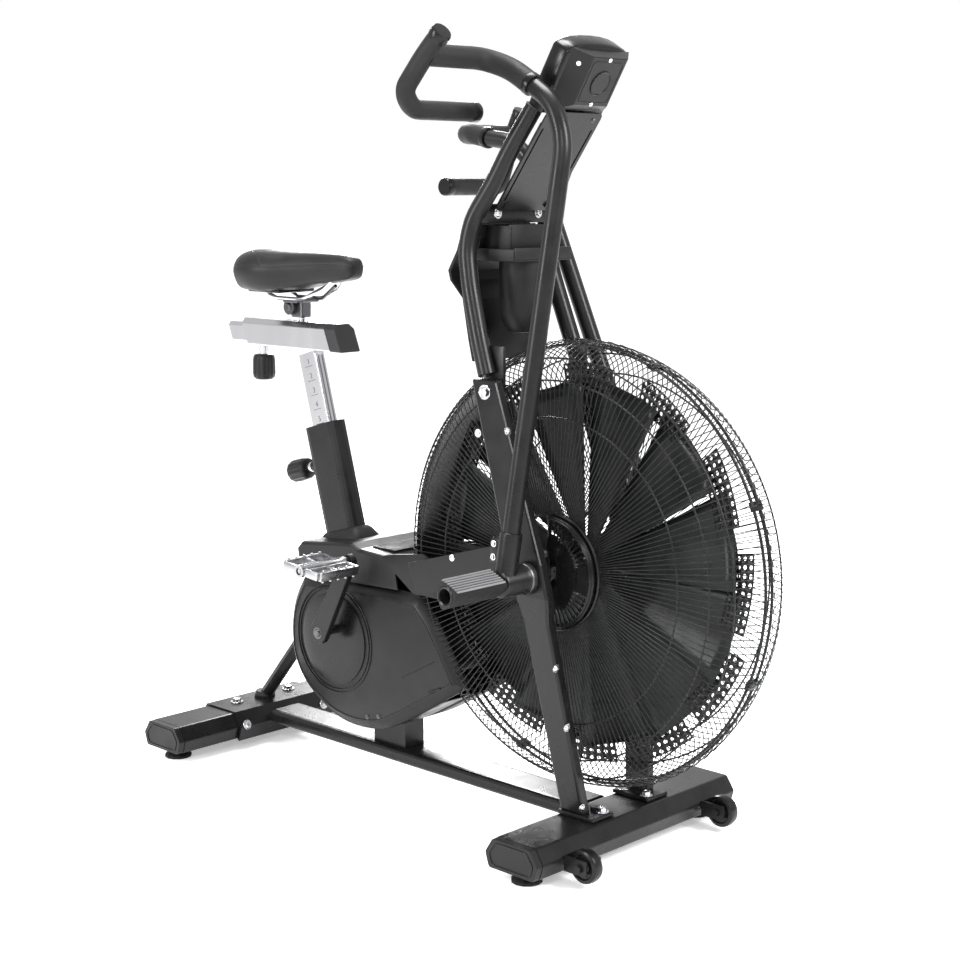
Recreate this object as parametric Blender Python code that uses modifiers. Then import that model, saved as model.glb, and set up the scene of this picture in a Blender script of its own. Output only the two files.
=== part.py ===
"""Air bike: fan wheel in a wire cage, pedal drive, swinging arms, sliding seat.

Metres. +X points from the rider to the fan, +Y to the rider's left, +Z up, floor at Z = 0.
The object is symmetric about Y = 0. Shapes are measured from the fan axle (X = 0 there),
and one root empty carries everything to the object's own origin.
"""
import bpy
import bmesh
from math import atan2, cos, radians, sin
from mathutils import Matrix, Vector

# Overall layout
FAN_X = 0.2793           # fan axle ahead of the object's origin
AXLE_Z = 0.4762          # fan axle height
FRONT_X = 0.071          # front stabilizer
REAR_X = -0.860          # rear stabilizer
BEAM_HALF = 0.260        # half length of both stabilizers with caps
FOOT_Y = 0.2217          # levelling feet
# Fan, cage and drive
CAGE_R = 0.373
CAGE_HALF = 0.080
SPOKES = 18
BLADES = 12
BLADE_R = 0.318
CRANK_X = -0.540
CRANK_Z = 0.287
CRANK_LEN = 0.170
CRANK_REST = radians(60.0)
CRANK_PULLEY_R = 0.095
FAN_PULLEY_R = 0.022
BELT_Y = 0.0960
# Arms
ARM_REST_R = radians(3.8)
ARM_REST_L = radians(-19.0)
ARM_R = 0.015
LEVER = 0.035
# Seat
SEAT_TILT = radians(-16.0)
SEAT_P0 = (-0.661, 0.0, 0.647)
SADDLE_PIN_X = -0.726
# Fit
GAP = 0.0003

for item in list(bpy.data.objects):
    bpy.data.objects.remove(item, do_unlink=True)

bike = bpy.data.collections.new("air_bike")
cutters = bpy.data.collections.new("cutters")
bpy.context.scene.collection.children.link(bike)
bpy.context.scene.collection.children.link(cutters)
root = bpy.data.objects.new("air_bike_root", None)
bike.objects.link(root)
root.location = (FAN_X, 0.0, 0.0)


# ---------------------------------------------------------------- materials
def finish(name, color, roughness, metallic):
    mat = bpy.data.materials.new(name)
    mat.use_nodes = True
    shader = mat.node_tree.nodes["Principled BSDF"]
    shader.inputs["Base Color"].default_value = (*color, 1.0)
    shader.inputs["Roughness"].default_value = roughness
    shader.inputs["Metallic"].default_value = metallic
    return mat


COAT = finish("black_powder_coat", (0.022, 0.022, 0.022), 0.42, 0.0)
PLASTIC = finish("black_plastic", (0.016, 0.016, 0.017), 0.50, 0.0)
RUBBER = finish("black_rubber", (0.012, 0.012, 0.012), 0.80, 0.0)
FOAM = finish("black_foam", (0.014, 0.014, 0.014), 0.90, 0.0)
LEATHER = finish("black_cover", (0.020, 0.020, 0.020), 0.55, 0.0)
STEEL = finish("silver_steel", (0.55, 0.56, 0.58), 0.30, 1.0)
ALLOY = finish("pedal_alloy", (0.45, 0.46, 0.48), 0.38, 1.0)
GREY = finish("grey_plastic", (0.25, 0.25, 0.26), 0.50, 0.0)
GLASS = finish("display", (0.010, 0.012, 0.012), 0.10, 0.0)


# ---------------------------------------------------------------- modelling helpers
def link(name, mesh):
    obj = bpy.data.objects.new(name, mesh)
    bike.objects.link(obj)
    return obj


def meshed(obj):
    """A curve or modified object as one closed mesh object, its caps welded."""
    tools = [mod.object for mod in obj.modifiers if mod.type == "BOOLEAN"]
    bpy.context.view_layer.update()
    graph = bpy.context.evaluated_depsgraph_get()
    mesh = bpy.data.meshes.new_from_object(obj.evaluated_get(graph))
    bm = bmesh.new()
    bm.from_mesh(mesh)
    bmesh.ops.remove_doubles(bm, verts=bm.verts, dist=1e-6)
    bmesh.ops.dissolve_degenerate(bm, edges=bm.edges, dist=1e-7)
    bmesh.ops.recalc_face_normals(bm, faces=bm.faces)
    bm.to_mesh(mesh)
    bm.free()
    new = link(obj.name + "_m", mesh)
    new.matrix_world = obj.matrix_world.copy()
    for used in (obj, *tools):
        bpy.data.objects.remove(used, do_unlink=True)
    return new


def fillet(points, radius, steps=3, closed=True):
    """Corner points with each corner replaced by an arc of the given radius."""
    pts = [Vector(p) for p in points]
    out = []
    count = len(pts)
    for i, here in enumerate(pts):
        if not closed and i in (0, count - 1):
            out.append(here)
            continue
        a = (pts[i - 1] - here)
        b = (pts[(i + 1) % count] - here)
        turn = a.angle(b)
        reach = min(radius / max(1e-6, abs(1.0 / max(1e-6, cos(turn / 2)) * sin(turn / 2))),
                    0.45 * a.length, 0.45 * b.length)
        start = here + a.normalized() * reach
        end = here + b.normalized() * reach
        for k in range(steps + 1):
            t = k / steps
            out.append(start.lerp(here, t).lerp(here.lerp(end, t), t))
    return out


def tube(path, radius, sides=12, bend=0.0, steps=4):
    """A round bar along a path of 3-D points, its corners bent to a radius."""
    pts = fillet(path, bend, steps, closed=False) if bend else [Vector(p) for p in path]
    curve = bpy.data.curves.new("bar", "CURVE")
    curve.dimensions = "3D"
    curve.bevel_depth = radius
    curve.bevel_resolution = sides // 2 - 2
    curve.use_fill_caps = True
    line = curve.splines.new("POLY")
    line.points.add(len(pts) - 1)
    for spot, p in zip(line.points, pts):
        spot.co = (p.x, p.y, p.z, 1.0)
    return meshed(link("bar", curve))


def flat(outline, low, high, holes=(), plane="XZ"):
    """A flat outline between two heights; XZ outlines run along Y, YZ ones along X."""
    curve = bpy.data.curves.new("flat", "CURVE")
    curve.dimensions = "2D"
    curve.fill_mode = "BOTH"
    curve.extrude = abs(high - low) / 2
    for ring in (outline, *holes):
        line = curve.splines.new("POLY")
        line.points.add(len(ring) - 1)
        for spot, p in zip(line.points, ring):
            spot.co = (p[0], p[1], 0.0, 1.0)
        line.use_cyclic_u = True
    obj = meshed(link("flat", curve))
    mid = (low + high) / 2
    if plane == "XZ":
        turn = Matrix(((1, 0, 0, 0), (0, 0, -1, mid), (0, 1, 0, 0), (0, 0, 0, 1)))
    elif plane == "YZ":
        turn = Matrix(((0, 0, 1, mid), (1, 0, 0, 0), (0, 1, 0, 0), (0, 0, 0, 1)))
    else:
        turn = Matrix.Translation((0, 0, mid))
    obj.data.transform(turn)
    return obj


def block(low, high, bevel=0.0, segments=2):
    """A box between two corners, its edges rounded."""
    bm = bmesh.new()
    bmesh.ops.create_cube(bm, size=1.0)
    size = [h - l for l, h in zip(low, high)]
    mid = [(h + l) / 2 for l, h in zip(low, high)]
    bmesh.ops.scale(bm, vec=size, verts=bm.verts)
    bmesh.ops.translate(bm, vec=mid, verts=bm.verts)
    mesh = bpy.data.meshes.new("block")
    bm.to_mesh(mesh)
    bm.free()
    obj = link("block", mesh)
    if bevel:
        soften(obj, bevel, segments)
    return obj


def soften(obj, width, segments=2, angle=35.0):
    mod = obj.modifiers.new("edges", "BEVEL")
    mod.width = width
    mod.segments = segments
    mod.limit_method = "ANGLE"
    mod.angle_limit = radians(angle)
    mod.use_clamp_overlap = True


def rod(start, end, radius, sides=16, radius2=None):
    """A straight round bar or cone between two points."""
    a = Vector(start)
    b = Vector(end)
    bm = bmesh.new()
    bmesh.ops.create_cone(bm, cap_ends=True, segments=sides, radius1=radius,
                          radius2=radius if radius2 is None else radius2, depth=(b - a).length)
    mesh = bpy.data.meshes.new("rod")
    bm.to_mesh(mesh)
    bm.free()
    turn = (b - a).to_track_quat("Z", "Y").to_matrix().to_4x4()
    mesh.transform(Matrix.Translation((a + b) / 2) @ turn)
    return link("rod", mesh)


def turned(profile, start, toward, steps=20):
    """A turned shape: (radius, height) pairs from the top down, its axis along `toward`."""
    bm = bmesh.new()
    spots = [bm.verts.new((r, 0.0, h)) for r, h in profile]
    for a, b in zip(spots, spots[1:]):
        bm.edges.new((a, b))
    mesh = bpy.data.meshes.new("turned")
    bm.to_mesh(mesh)
    bm.free()
    obj = link("turned", mesh)
    mod = obj.modifiers.new("turn", "SCREW")
    mod.steps = steps
    mod.render_steps = steps
    mod.use_merge_vertices = True
    mod.merge_threshold = 0.00001
    new = meshed(obj)
    turn = Vector(toward).to_track_quat("Z", "Y").to_matrix().to_4x4()
    new.data.transform(Matrix.Translation(start) @ turn)
    return new


def loft(rings):
    """A closed solid through rings of equal point count."""
    bm = bmesh.new()
    rows = [[bm.verts.new(p) for p in ring] for ring in rings]
    count = len(rings[0])
    for low, high in zip(rows, rows[1:]):
        for k in range(count):
            bm.faces.new((low[k], low[(k + 1) % count], high[(k + 1) % count], high[k]))
    bm.faces.new(rows[0])
    bm.faces.new(rows[-1])
    bmesh.ops.recalc_face_normals(bm, faces=bm.faces)
    mesh = bpy.data.meshes.new("loft")
    bm.to_mesh(mesh)
    bm.free()
    return link("loft", mesh)


def combine(obj, others, operation):
    for other in others:
        cutters.objects.link(other)
        bike.objects.unlink(other)
        other.name = "tool"
        other.hide_render = True
        other.display_type = "WIRE"
        mod = obj.modifiers.new(operation.lower(), "BOOLEAN")
        mod.operation = operation
        mod.object = other
    return obj


def join(obj, *others):
    return combine(obj, others, "UNION")


def cut(obj, *others):
    return combine(obj, others, "DIFFERENCE")


def piece(obj, name, material, at=(0.0, 0.0, 0.0)):
    """Name a finished sub-part, give it its finish, and put its origin at `at`."""
    obj.data.transform(Matrix.Translation(-Vector(at)))
    obj.location = at
    obj.parent = root
    for mod in obj.modifiers:
        if mod.type == "BOOLEAN":
            mod.object.parent = root
    obj.name = name
    obj.data.name = name
    obj.data.materials.clear()
    obj.data.materials.append(material)
    obj.data.shade_smooth()
    obj.data.set_sharp_from_angle(angle=radians(35.0))
    return obj


def hung(obj, name, material, at, turn_y):
    """A sub-part modelled round the origin, then hung at `at` and turned about Y."""
    piece(obj, name, material)
    obj.location = at
    obj.rotation_euler = (0.0, turn_y, 0.0)
    return obj


def ring_of(radius, sides, x=0.0, z=0.0, start=0.0):
    step = radians(360.0) / sides
    return [(x + radius * cos(start + step * k), z + radius * sin(start + step * k))
            for k in range(sides)]


def span(side, near, far):
    """The low and high Y of a range of distances from the middle plane."""
    return (side * near, side * far) if side > 0 else (side * far, side * near)


# ---------------------------------------------------------------- base
BEAM_SECTION = ((-0.041, 0.0715), (0.041, 0.0715), (0.058, 0.046),
                (0.050, 0.0205), (-0.050, 0.0205), (-0.058, 0.046))


def beam_outline(x, scale=1.0):
    return [(x + dx * scale, 0.046 + (z - 0.046) * scale) for dx, z in BEAM_SECTION]


def stabilizer(name, x):
    outline = fillet([(px, pz, 0.0) for px, pz in beam_outline(x)], 0.005, 2)
    half = BEAM_HALF - 0.014
    piece(flat(outline, -half, half), name, COAT)


def stabilizer_cap(name, x, side):
    low, high = span(side, BEAM_HALF - 0.014 + GAP, BEAM_HALF)
    outline = fillet([(px, pz, 0.0) for px, pz in beam_outline(x, 0.985)], 0.006, 2)
    obj = flat(outline, low, high)
    soften(obj, 0.0025, 1, 50.0)
    piece(obj, name, PLASTIC)


def level_foot(name, x, side):
    y = side * FOOT_Y
    profile = ((0.0, 0.0202), (0.006, 0.0202), (0.006, 0.013), (0.017, 0.012),
               (0.026, 0.005), (0.026, 0.0), (0.0, 0.0))
    piece(turned(profile, (x, y, 0.0), (0, 0, 1), 12), name, RUBBER)


def rail_outline():
    return fillet([(-0.0405, 0.0405, 0), (0.0405, 0.0405, 0),
                   (0.0405, 0.0668, 0), (-0.0405, 0.0668, 0)], 0.0128, 4)


def main_rail():
    rail = flat(rail_outline(), REAR_X + 0.0657, FRONT_X - 0.0583, plane="YZ")
    web = fillet([(-0.505, 0.055, 0), (-0.420, 0.055, 0), (-0.420, 0.130, 0), (-0.512, 0.303, 0),
                  (-0.556, 0.298, 0), (-0.552, 0.250, 0), (-0.505, 0.160, 0)], 0.008, 2)
    post = flat(web, -0.024, 0.024)
    barrel = rod((CRANK_X, -0.034, CRANK_Z), (CRANK_X, 0.034, CRANK_Z), 0.022)
    bore = rod((CRANK_X, -0.050, CRANK_Z), (CRANK_X, 0.050, CRANK_Z), 0.0089)
    join(rail, post, barrel)
    cut(rail, bore)
    piece(rail, "main_rail", COAT)


def rear_sleeve():
    """Saddle plate over the rear stabilizer with the slanted strut welded on it."""
    inner = beam_outline(REAR_X, 1.018)
    outer = beam_outline(REAR_X, 1.12)
    order = (4, 5, 0, 1, 2, 3)
    outline = [outer[k] for k in order] + [inner[k] for k in reversed(order)]
    sleeve = flat(outline, -0.115, 0.115)
    strut = tube(((-0.8575, 0, 0.0815), (-0.656, 0, 0.3155)), 0.0135, 12)
    collar = turned(((0.0, 0.088), (0.018, 0.088), (0.021, 0.080), (0.021, 0.0735), (0.0, 0.0735)),
                    (-0.8625, 0, 0), (0, 0, 1), 16)
    bolts = [rod((-0.869, s * 0.067, 0.0735), (-0.869, s * 0.067, 0.0805), 0.0085, 6)
             for s in (-1, 1)]
    join(sleeve, strut, collar, *bolts)
    piece(sleeve, "rear_sleeve", COAT)


def wheel_bracket(name, side):
    y = side * 0.180
    back = FRONT_X + 0.0583
    outline = [(back, -0.018), (0.176, -0.018), (0.176, -0.015), (back + 0.002, -0.015),
               (back + 0.002, 0.015), (0.176, 0.015), (0.176, 0.018), (back, 0.018)]
    obj = flat(outline, 0.026, 0.052, plane="XY")
    obj.data.transform(Matrix.Translation((0, y, 0)))
    bolt = rod((0.161, y - 0.0225, 0.0375), (0.161, y + 0.0225, 0.0375), 0.004, 12)
    heads = [rod((0.161, y + s * 0.0175, 0.0375), (0.161, y + s * 0.0235, 0.0375), 0.007, 6)
             for s in (-1, 1)]
    join(obj, bolt, *heads)
    piece(obj, name, STEEL)


def transport_wheel(name, side):
    y = side * 0.180
    profile = ((0.0046, 0.011), (0.020, 0.011), (0.0255, 0.0085), (0.0275, 0.0045),
               (0.0275, -0.0045), (0.0255, -0.0085), (0.020, -0.011), (0.0046, -0.011),
               (0.0046, 0.011))
    piece(turned(profile, (0.161, y, 0.0375), (0, 1, 0), 20), name, RUBBER,
          (0.161, y, 0.0375))


# ---------------------------------------------------------------- fork
def fork(name, side):
    """One upright: foot plate, leg, hub boss and the upper part that carries the mast."""
    stations = ((0.0768, 0.054, 0.025, 0.084), (0.400, 0.012, 0.027, 0.1295),
                (0.445, 0.006, 0.036, 0.1358), (0.500, -0.010, 0.0375, 0.1362),
                (0.790, -0.115, 0.0265, 0.122))
    rings = []
    for z, x, half, y in stations:
        rings.append([(x - half, side * (y - 0.010), z), (x + half, side * (y - 0.010), z),
                      (x + half, side * (y + 0.010), z), (x - half, side * (y + 0.010), z)])
    leg = loft(rings)
    soften(leg, 0.004, 2, 40.0)
    low, high = span(side, 0.044, 0.100)
    plate = block((0.026, low, 0.0718), (0.104, high, 0.0785), 0.0015, 1)
    boss = rod((0, side * 0.1275, AXLE_Z), (0, side * 0.1480, AXLE_Z), 0.028, 20)
    bore = rod((0, side * 0.110, AXLE_Z), (0, side * 0.165, AXLE_Z), 0.0130, 20)
    foot_bolt = rod((0.075, side * 0.058, 0.078), (0.075, side * 0.058, 0.085), 0.0085, 6)
    top_bolt = rod((-0.106, side * 0.131, 0.770), (-0.106, side * 0.137, 0.770), 0.008, 6)
    join(leg, plate, boss, foot_bolt, top_bolt)
    cut(leg, bore)
    piece(leg, name, COAT)


# ---------------------------------------------------------------- fan and cage
def fan_axle():
    piece(rod((0, -0.2165, AXLE_Z), (0, 0.2165, AXLE_Z), 0.0080, 16), "fan_axle", STEEL)


def blade(angle):
    """A broad pitched sheet from the hub barrel to the rim band, turned to its place."""
    rings = []
    for radius, chord, pitch in ((0.015, 0.018, 60.0), (0.080, 0.048, 52.0),
                                 (0.190, 0.082, 44.0), (0.308, 0.112, 38.0)):
        across = cos(radians(pitch)) * chord / 2
        rise = sin(radians(pitch)) * chord / 2
        rise = min(rise, 0.050)
        rings.append([(-across, radius, -rise), (across, radius, rise),
                      (across - 0.0009, radius, rise + 0.0012),
                      (-across - 0.0009, radius, -rise + 0.0012)])
    obj = loft(rings)
    obj.data.transform(Matrix.Rotation(angle, 4, "Z"))
    return obj


def fan_wheel():
    """Hub barrel with the belt pulley, pitched blades and the rim band, turning on the axle."""
    profile = ((0.0086, 0.1020), (0.0250, 0.1020), (0.0250, 0.1010), (0.0220, 0.1010),
               (0.0220, 0.0910), (0.0250, 0.0910), (0.0250, 0.0895), (0.0200, 0.0895),
               (0.0200, -0.0600), (0.0086, -0.0600), (0.0086, 0.1020))
    hub = turned(profile, (0, 0, 0), (0, 0, 1), 24)
    band = turned(((0.298, 0.0008), (0.342, 0.0008), (0.342, -0.0008), (0.298, -0.0008),
                   (0.298, 0.0008)), (0, 0, 0), (0, 0, 1), 36)
    blades = [blade(radians(15.0 + 360.0 / BLADES * k)) for k in range(BLADES)]
    join(hub, *blades, band)
    hub = meshed(hub)
    hub.data.transform(Matrix.Translation((0, 0, AXLE_Z)) @ Matrix.Rotation(radians(-90), 4, "X"))
    piece(hub, "fan_wheel", STEEL, (0, 0, AXLE_Z))


def cage(name, side):
    """Half of the wire cage: radial bars and support rings as one pierced shell."""
    profile = ((0.095, 0.0), (0.106, 0.0), (0.311, 0.0), (0.321, -0.001), (0.352, -0.018),
               (0.369, -0.050), (0.372, -0.067), (0.373, -0.0778))
    full = (0, 2, 6)
    step = radians(360.0) / SPOKES
    half = radians(1.0)
    angles = []
    for k in range(SPOKES):
        angles += [k * step - half, k * step + half, (k + 0.5) * step]
    bm = bmesh.new()
    grid = [[bm.verts.new((r * cos(a), side * (CAGE_HALF + d), AXLE_Z + r * sin(a)))
             for r, d in profile] for a in angles]
    for col in range(len(angles)):
        after = (col + 1) % len(angles)
        for row in range(len(profile) - 1):
            if row in full or col % 3 == 0:
                bm.faces.new((grid[col][row], grid[col][row + 1],
                              grid[after][row + 1], grid[after][row]))
    loose = [v for v in bm.verts if not v.link_faces]
    bmesh.ops.delete(bm, geom=loose, context="VERTS")
    bmesh.ops.recalc_face_normals(bm, faces=bm.faces)
    mesh = bpy.data.meshes.new("cage")
    bm.to_mesh(mesh)
    bm.free()
    obj = link("cage", mesh)
    mod = obj.modifiers.new("wall", "SOLIDIFY")
    mod.thickness = 0.0030
    mod.offset = 0.0
    piece(obj, name, COAT)


def hub_cover(name, side, depth, notch_r):
    """D-shaped cover over the front half of the hub."""
    def arc(radius, edge):
        first = atan2(-(radius ** 2 - edge ** 2) ** 0.5, edge)
        steps = 16
        return [(radius * cos(first - 2 * first * k / steps),
                 AXLE_Z + radius * sin(first - 2 * first * k / steps)) for k in range(steps + 1)]

    low, high = span(side, 0.0830, depth)
    obj = flat(arc(0.094, -0.003), low, high)
    soften(obj, 0.003, 1, 50.0)
    low, high = span(side, 0.0800, depth - 0.002)
    hollow = flat(arc(0.0915, 0.000), low, high)
    notch = rod((-0.003, side * 0.070, AXLE_Z), (-0.003, side * 0.120, AXLE_Z), notch_r, 24)
    cut(obj, hollow, notch)
    piece(obj, name, PLASTIC)


# ---------------------------------------------------------------- drive
def hull_line(c1, r1, c2, r2, steps=12):
    """The outline of a band stretched round two circles."""
    a = Vector(c1)
    b = Vector(c2)
    along = b - a
    base = atan2(along.y, along.x)
    lean = radians(90) - atan2(r1 - r2, (along.length ** 2 - (r1 - r2) ** 2) ** 0.5)
    out = []
    for k in range(steps + 1):
        t = base + lean + (radians(360) - 2 * lean) * k / steps
        out.append((a.x + r1 * cos(t), a.y + r1 * sin(t)))
    for k in range(steps + 1):
        t = base - lean + 2 * lean * k / steps
        out.append((b.x + r2 * cos(t), b.y + r2 * sin(t)))
    return out


CRANK_C = (CRANK_X, CRANK_Z)
FAN_C = (0.0, AXLE_Z)


def crank_pulley():
    """Large pulley and the axle that both cranks sit on."""
    pulley = turned(((0.0, 0.0985), (0.085, 0.0985), (0.088, 0.1005), (0.0950, 0.1005),
                     (0.0950, 0.0915), (0.088, 0.0915), (0.085, 0.0935), (0.0, 0.0935)),
                    (CRANK_X, 0, CRANK_Z), (0, 1, 0), 32)
    axle = rod((CRANK_X, -0.1335, CRANK_Z), (CRANK_X, 0.1335, CRANK_Z), 0.0085, 16)
    join(pulley, axle)
    piece(pulley, "crank_pulley", STEEL, (CRANK_X, 0, CRANK_Z))


def belt():
    outer = hull_line(CRANK_C, CRANK_PULLEY_R + 0.0036, FAN_C, FAN_PULLEY_R + 0.0028, 18)
    inner = hull_line(CRANK_C, CRANK_PULLEY_R + 0.0012, FAN_C, FAN_PULLEY_R + 0.0005, 18)
    piece(flat(outer, BELT_Y - 0.0042, BELT_Y + 0.0042, [inner]), "belt", RUBBER)


def crank(name, side):
    """Forged arm with the pedal spindle."""
    turn = CRANK_REST if side < 0 else CRANK_REST + radians(180)
    tip = (CRANK_X + CRANK_LEN * cos(turn), CRANK_Z + CRANK_LEN * sin(turn))
    low, high = span(side, 0.1195, 0.1330)
    outline = hull_line(CRANK_C, 0.021, tip, 0.0135, 7)
    arm = flat(outline, low, high, [ring_of(0.0088, 16, *CRANK_C)])
    soften(arm, 0.0025, 1, 60.0)
    spindle = rod((tip[0], side * 0.128, tip[1]), (tip[0], side * 0.2350, tip[1]), 0.0058, 12)
    collar = rod((tip[0], side * 0.1320, tip[1]), (tip[0], side * 0.1410, tip[1]), 0.0095, 12)
    join(arm, spindle, collar)
    piece(arm, name, COAT, (CRANK_X, 0, CRANK_Z))


def pedal(name, side):
    """Alloy platform with two windows, turning on the spindle."""
    turn = CRANK_REST if side < 0 else CRANK_REST + radians(180)
    x = CRANK_X + CRANK_LEN * cos(turn)
    z = CRANK_Z + CRANK_LEN * sin(turn)
    y0 = side * 0.195
    outer = fillet([(-0.052, -0.050, 0), (0.052, -0.050, 0), (0.052, 0.050, 0),
                    (-0.052, 0.050, 0)], 0.012, 3)
    plate = flat(outer, -0.0075, 0.0075, plane="XY")
    plate = meshed(join(plate, rod((0, -0.053, 0), (0, 0.053, 0), 0.0115, 16)))
    windows = [block((a, -0.038, -0.02), (b, 0.038, 0.02)) for a, b in ((-0.042, -0.016), (0.016, 0.042))]
    plate = meshed(cut(plate, rod((0, -0.065, 0), (0, 0.065, 0), 0.0066, 12), *windows))
    plate.data.transform(Matrix.Translation((x, y0, z)))
    piece(plate, name, ALLOY, (x, 0, z))


# ---------------------------------------------------------------- shroud
SHROUD = ((-0.644, 0.374), (-0.682, 0.280), (-0.678, 0.211), (-0.649, 0.167), (-0.591, 0.129),
          (-0.520, 0.104), (-0.451, 0.108), (-0.369, 0.136), (-0.205, 0.235), (-0.282, 0.347),
          (-0.322, 0.386))
SHROUD_HALF = 0.0875


def shrunk(points, inset):
    """The outline moved inward by a distance, corner by corner."""
    out = []
    count = len(points)
    for i in range(count):
        a = Vector(points[i - 1])
        b = Vector(points[i])
        c = Vector(points[(i + 1) % count])
        n1 = Vector((-(b - a).y, (b - a).x)).normalized()
        n2 = Vector((-(c - b).y, (c - b).x)).normalized()
        mid = (n1 + n2).normalized()
        out.append(b + mid * inset / max(0.4, mid.dot(n1)))
    return out


def shroud(name, side):
    """One moulded half: hollow, open at the middle plane, cut round the cage."""
    low, high = span(side, GAP, SHROUD_HALF)
    shell = flat(SHROUD, low, high)
    soften(shell, 0.010, 2, 60.0)
    low, high = span(side, -0.004, SHROUD_HALF - 0.003)
    hollow = flat(shrunk(SHROUD, 0.003), low, high)
    if side > 0:
        shell = meshed(shell)
        far = Vector(CRANK_C).lerp(Vector(FAN_C), 0.221 / 0.572)
        housing = flat(hull_line(CRANK_C, 0.1075, far, 0.0780, 12), 0.0860, 0.1110)
        ahead = Vector(CRANK_C).lerp(Vector(FAN_C), 0.345 / 0.572)
        trim = Matrix.Translation((far.x, 0, far.y)) @ Matrix.Rotation(
            -atan2(AXLE_Z - CRANK_Z, -CRANK_X), 4, "Y")
        square = block((0.0, 0.05, -0.2), (0.2, 0.20, 0.2))
        square.data.transform(trim)
        cut(housing, square)
        housing = meshed(housing)
        join(shell, housing)
        inside = flat(hull_line(CRANK_C, 0.1050, ahead, 0.0660, 12), 0.0878, 0.1085)
        cut(shell, inside)
    axle_hole = rod((CRANK_X, side * 0.050, CRANK_Z), (CRANK_X, side * 0.150, CRANK_Z), 0.0140)
    cage_room = rod((0, -0.0842, AXLE_Z), (0, 0.0842, AXLE_Z), 0.3860, 48)
    post_room = block((-0.508, -0.027, 0.080), (-0.417, 0.027, 0.160))
    strut_room = tube(((-0.8645, 0, 0.0735), (-0.640, 0, 0.3341)), 0.0155, 12)
    seat_room = seat_prism(0.091, 0.046, 0.016, -0.36, -0.10)
    cut(shell, hollow, cage_room, post_room, strut_room, axle_hole, seat_room)
    piece(shell, name, PLASTIC)


def top_cover():
    """Moulded cap over the shroud: step pad in front, collar round the seat tube behind."""
    outline = [(-0.3235, 0.3865), (-0.352, 0.412), (-0.415, 0.444), (-0.480, 0.447),
               (-0.500, 0.455), (-0.640, 0.440), (-0.655, 0.425), (-0.6450, 0.3745)]
    shell = flat(outline, -0.0840, 0.0840)
    soften(shell, 0.006, 2, 60.0)
    shell = meshed(shell)
    inner = [(-0.3500, 0.370), (-0.3650, 0.400), (-0.418, 0.440), (-0.482, 0.443),
             (-0.636, 0.434), (-0.6500, 0.423), (-0.6390, 0.350)]
    hollow = flat(inner, -0.0810, 0.0810)
    opening = seat_prism(0.092, 0.046, 0.016, -0.40, -0.10)
    cage_room = rod((0, -0.0900, AXLE_Z), (0, 0.0900, AXLE_Z), 0.3860, 48)
    cut(shell, hollow, opening, cage_room)
    piece(shell, "top_cover", PLASTIC)


def beam_cover_r():
    """Hollow cover of the right push rod, open at the hub end."""
    outline = [(-0.284, 0.404), (-0.229, 0.412), (-0.020, 0.446), (-0.020, 0.534),
               (-0.093, 0.514), (-0.304, 0.453)]
    shell = flat(outline, -0.1240, -0.0900)
    soften(shell, 0.004, 2, 60.0)
    inner = [(-0.2810, 0.4065), (-0.229, 0.4145), (-0.010, 0.4500), (-0.010, 0.5345),
             (-0.093, 0.5115), (-0.3005, 0.4515)]
    hollow = flat(inner, -0.1220, -0.0850)
    cut(shell, hollow)
    piece(shell, "beam_cover_r", PLASTIC)


def beam_cover_l():
    """Tapered guard of the belt and the left push rod, open at both ends."""
    along = (Vector(FAN_C) - Vector(CRANK_C)).normalized()
    up = Vector((-along.y, along.x))
    start = Vector(CRANK_C) + along * 0.2230
    end = Vector(FAN_C) - along * 0.0470
    a = 0.0800
    b = 0.0480
    shell = flat([start - up * a, end - up * b, end + up * b, start + up * a], 0.0900, 0.1240)
    soften(shell, 0.004, 2, 60.0)
    lead = along * 0.012
    hollow = flat([start - up * (a - 0.0025) - lead, end - up * (b - 0.0025) + lead,
                   end + up * (b - 0.0025) + lead, start + up * (a - 0.0025) - lead],
                  0.0850, 0.1220)
    cut(shell, hollow)
    piece(shell, "beam_cover_l", PLASTIC)


# ---------------------------------------------------------------- arms
def arm_hub(name, side, rest):
    """Clamp sleeve, pivot barrel, hollow shaft through the fork and the push-rod lever."""
    def y(v):
        return side * v

    barrel = turned(((0.0086, 0.2160), (0.0200, 0.2160), (0.0235, 0.2130), (0.0240, 0.1650),
                     (0.0270, 0.1600), (0.0270, 0.1490), (0.0125, 0.1485), (0.0125, 0.1045),
                     (0.0086, 0.1045), (0.0086, 0.2160)), (0, 0, 0), (0, side, 0), 18)
    base = Vector((0, y(0.1986), 0.012))
    top = Vector((0, y(0.1904), 0.082))
    sleeve = rod(base, top, 0.0185, 16)
    bore = rod(base.lerp(top, 0.26), top.lerp(base, -0.10), 0.0158, 16)
    low, high = span(side, 0.1050, 0.1105)
    lever = flat(hull_line((0, 0), 0.0160, (0, LEVER), 0.0080, 6), low, high)
    pin = rod((0, y(0.1070), LEVER), (0, y(0.1192), LEVER), 0.0040, 12)
    join(barrel, sleeve, lever, pin)
    shaft = rod((0, y(0.09), 0), (0, y(0.23), 0), 0.0086, 16)
    cut(barrel, bore, shaft)
    barrel = meshed(barrel)
    hung(barrel, name, COAT, (0, 0, AXLE_Z), rest)


def arm_y(height):
    return 0.200 - 0.117 * height


def arm(name, side, rest):
    """Straight steel tube, bent back at the top."""
    path = [(0.0, side * arm_y(0.0325), 0.0325), (0.002, side * arm_y(0.706), 0.706),
            (-0.030, side * 0.1125, 0.756), (-0.078, side * 0.108, 0.7816)]
    hung(tube(path, ARM_R, 14, 0.030), name, COAT, (0, 0, AXLE_Z), rest)


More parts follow.
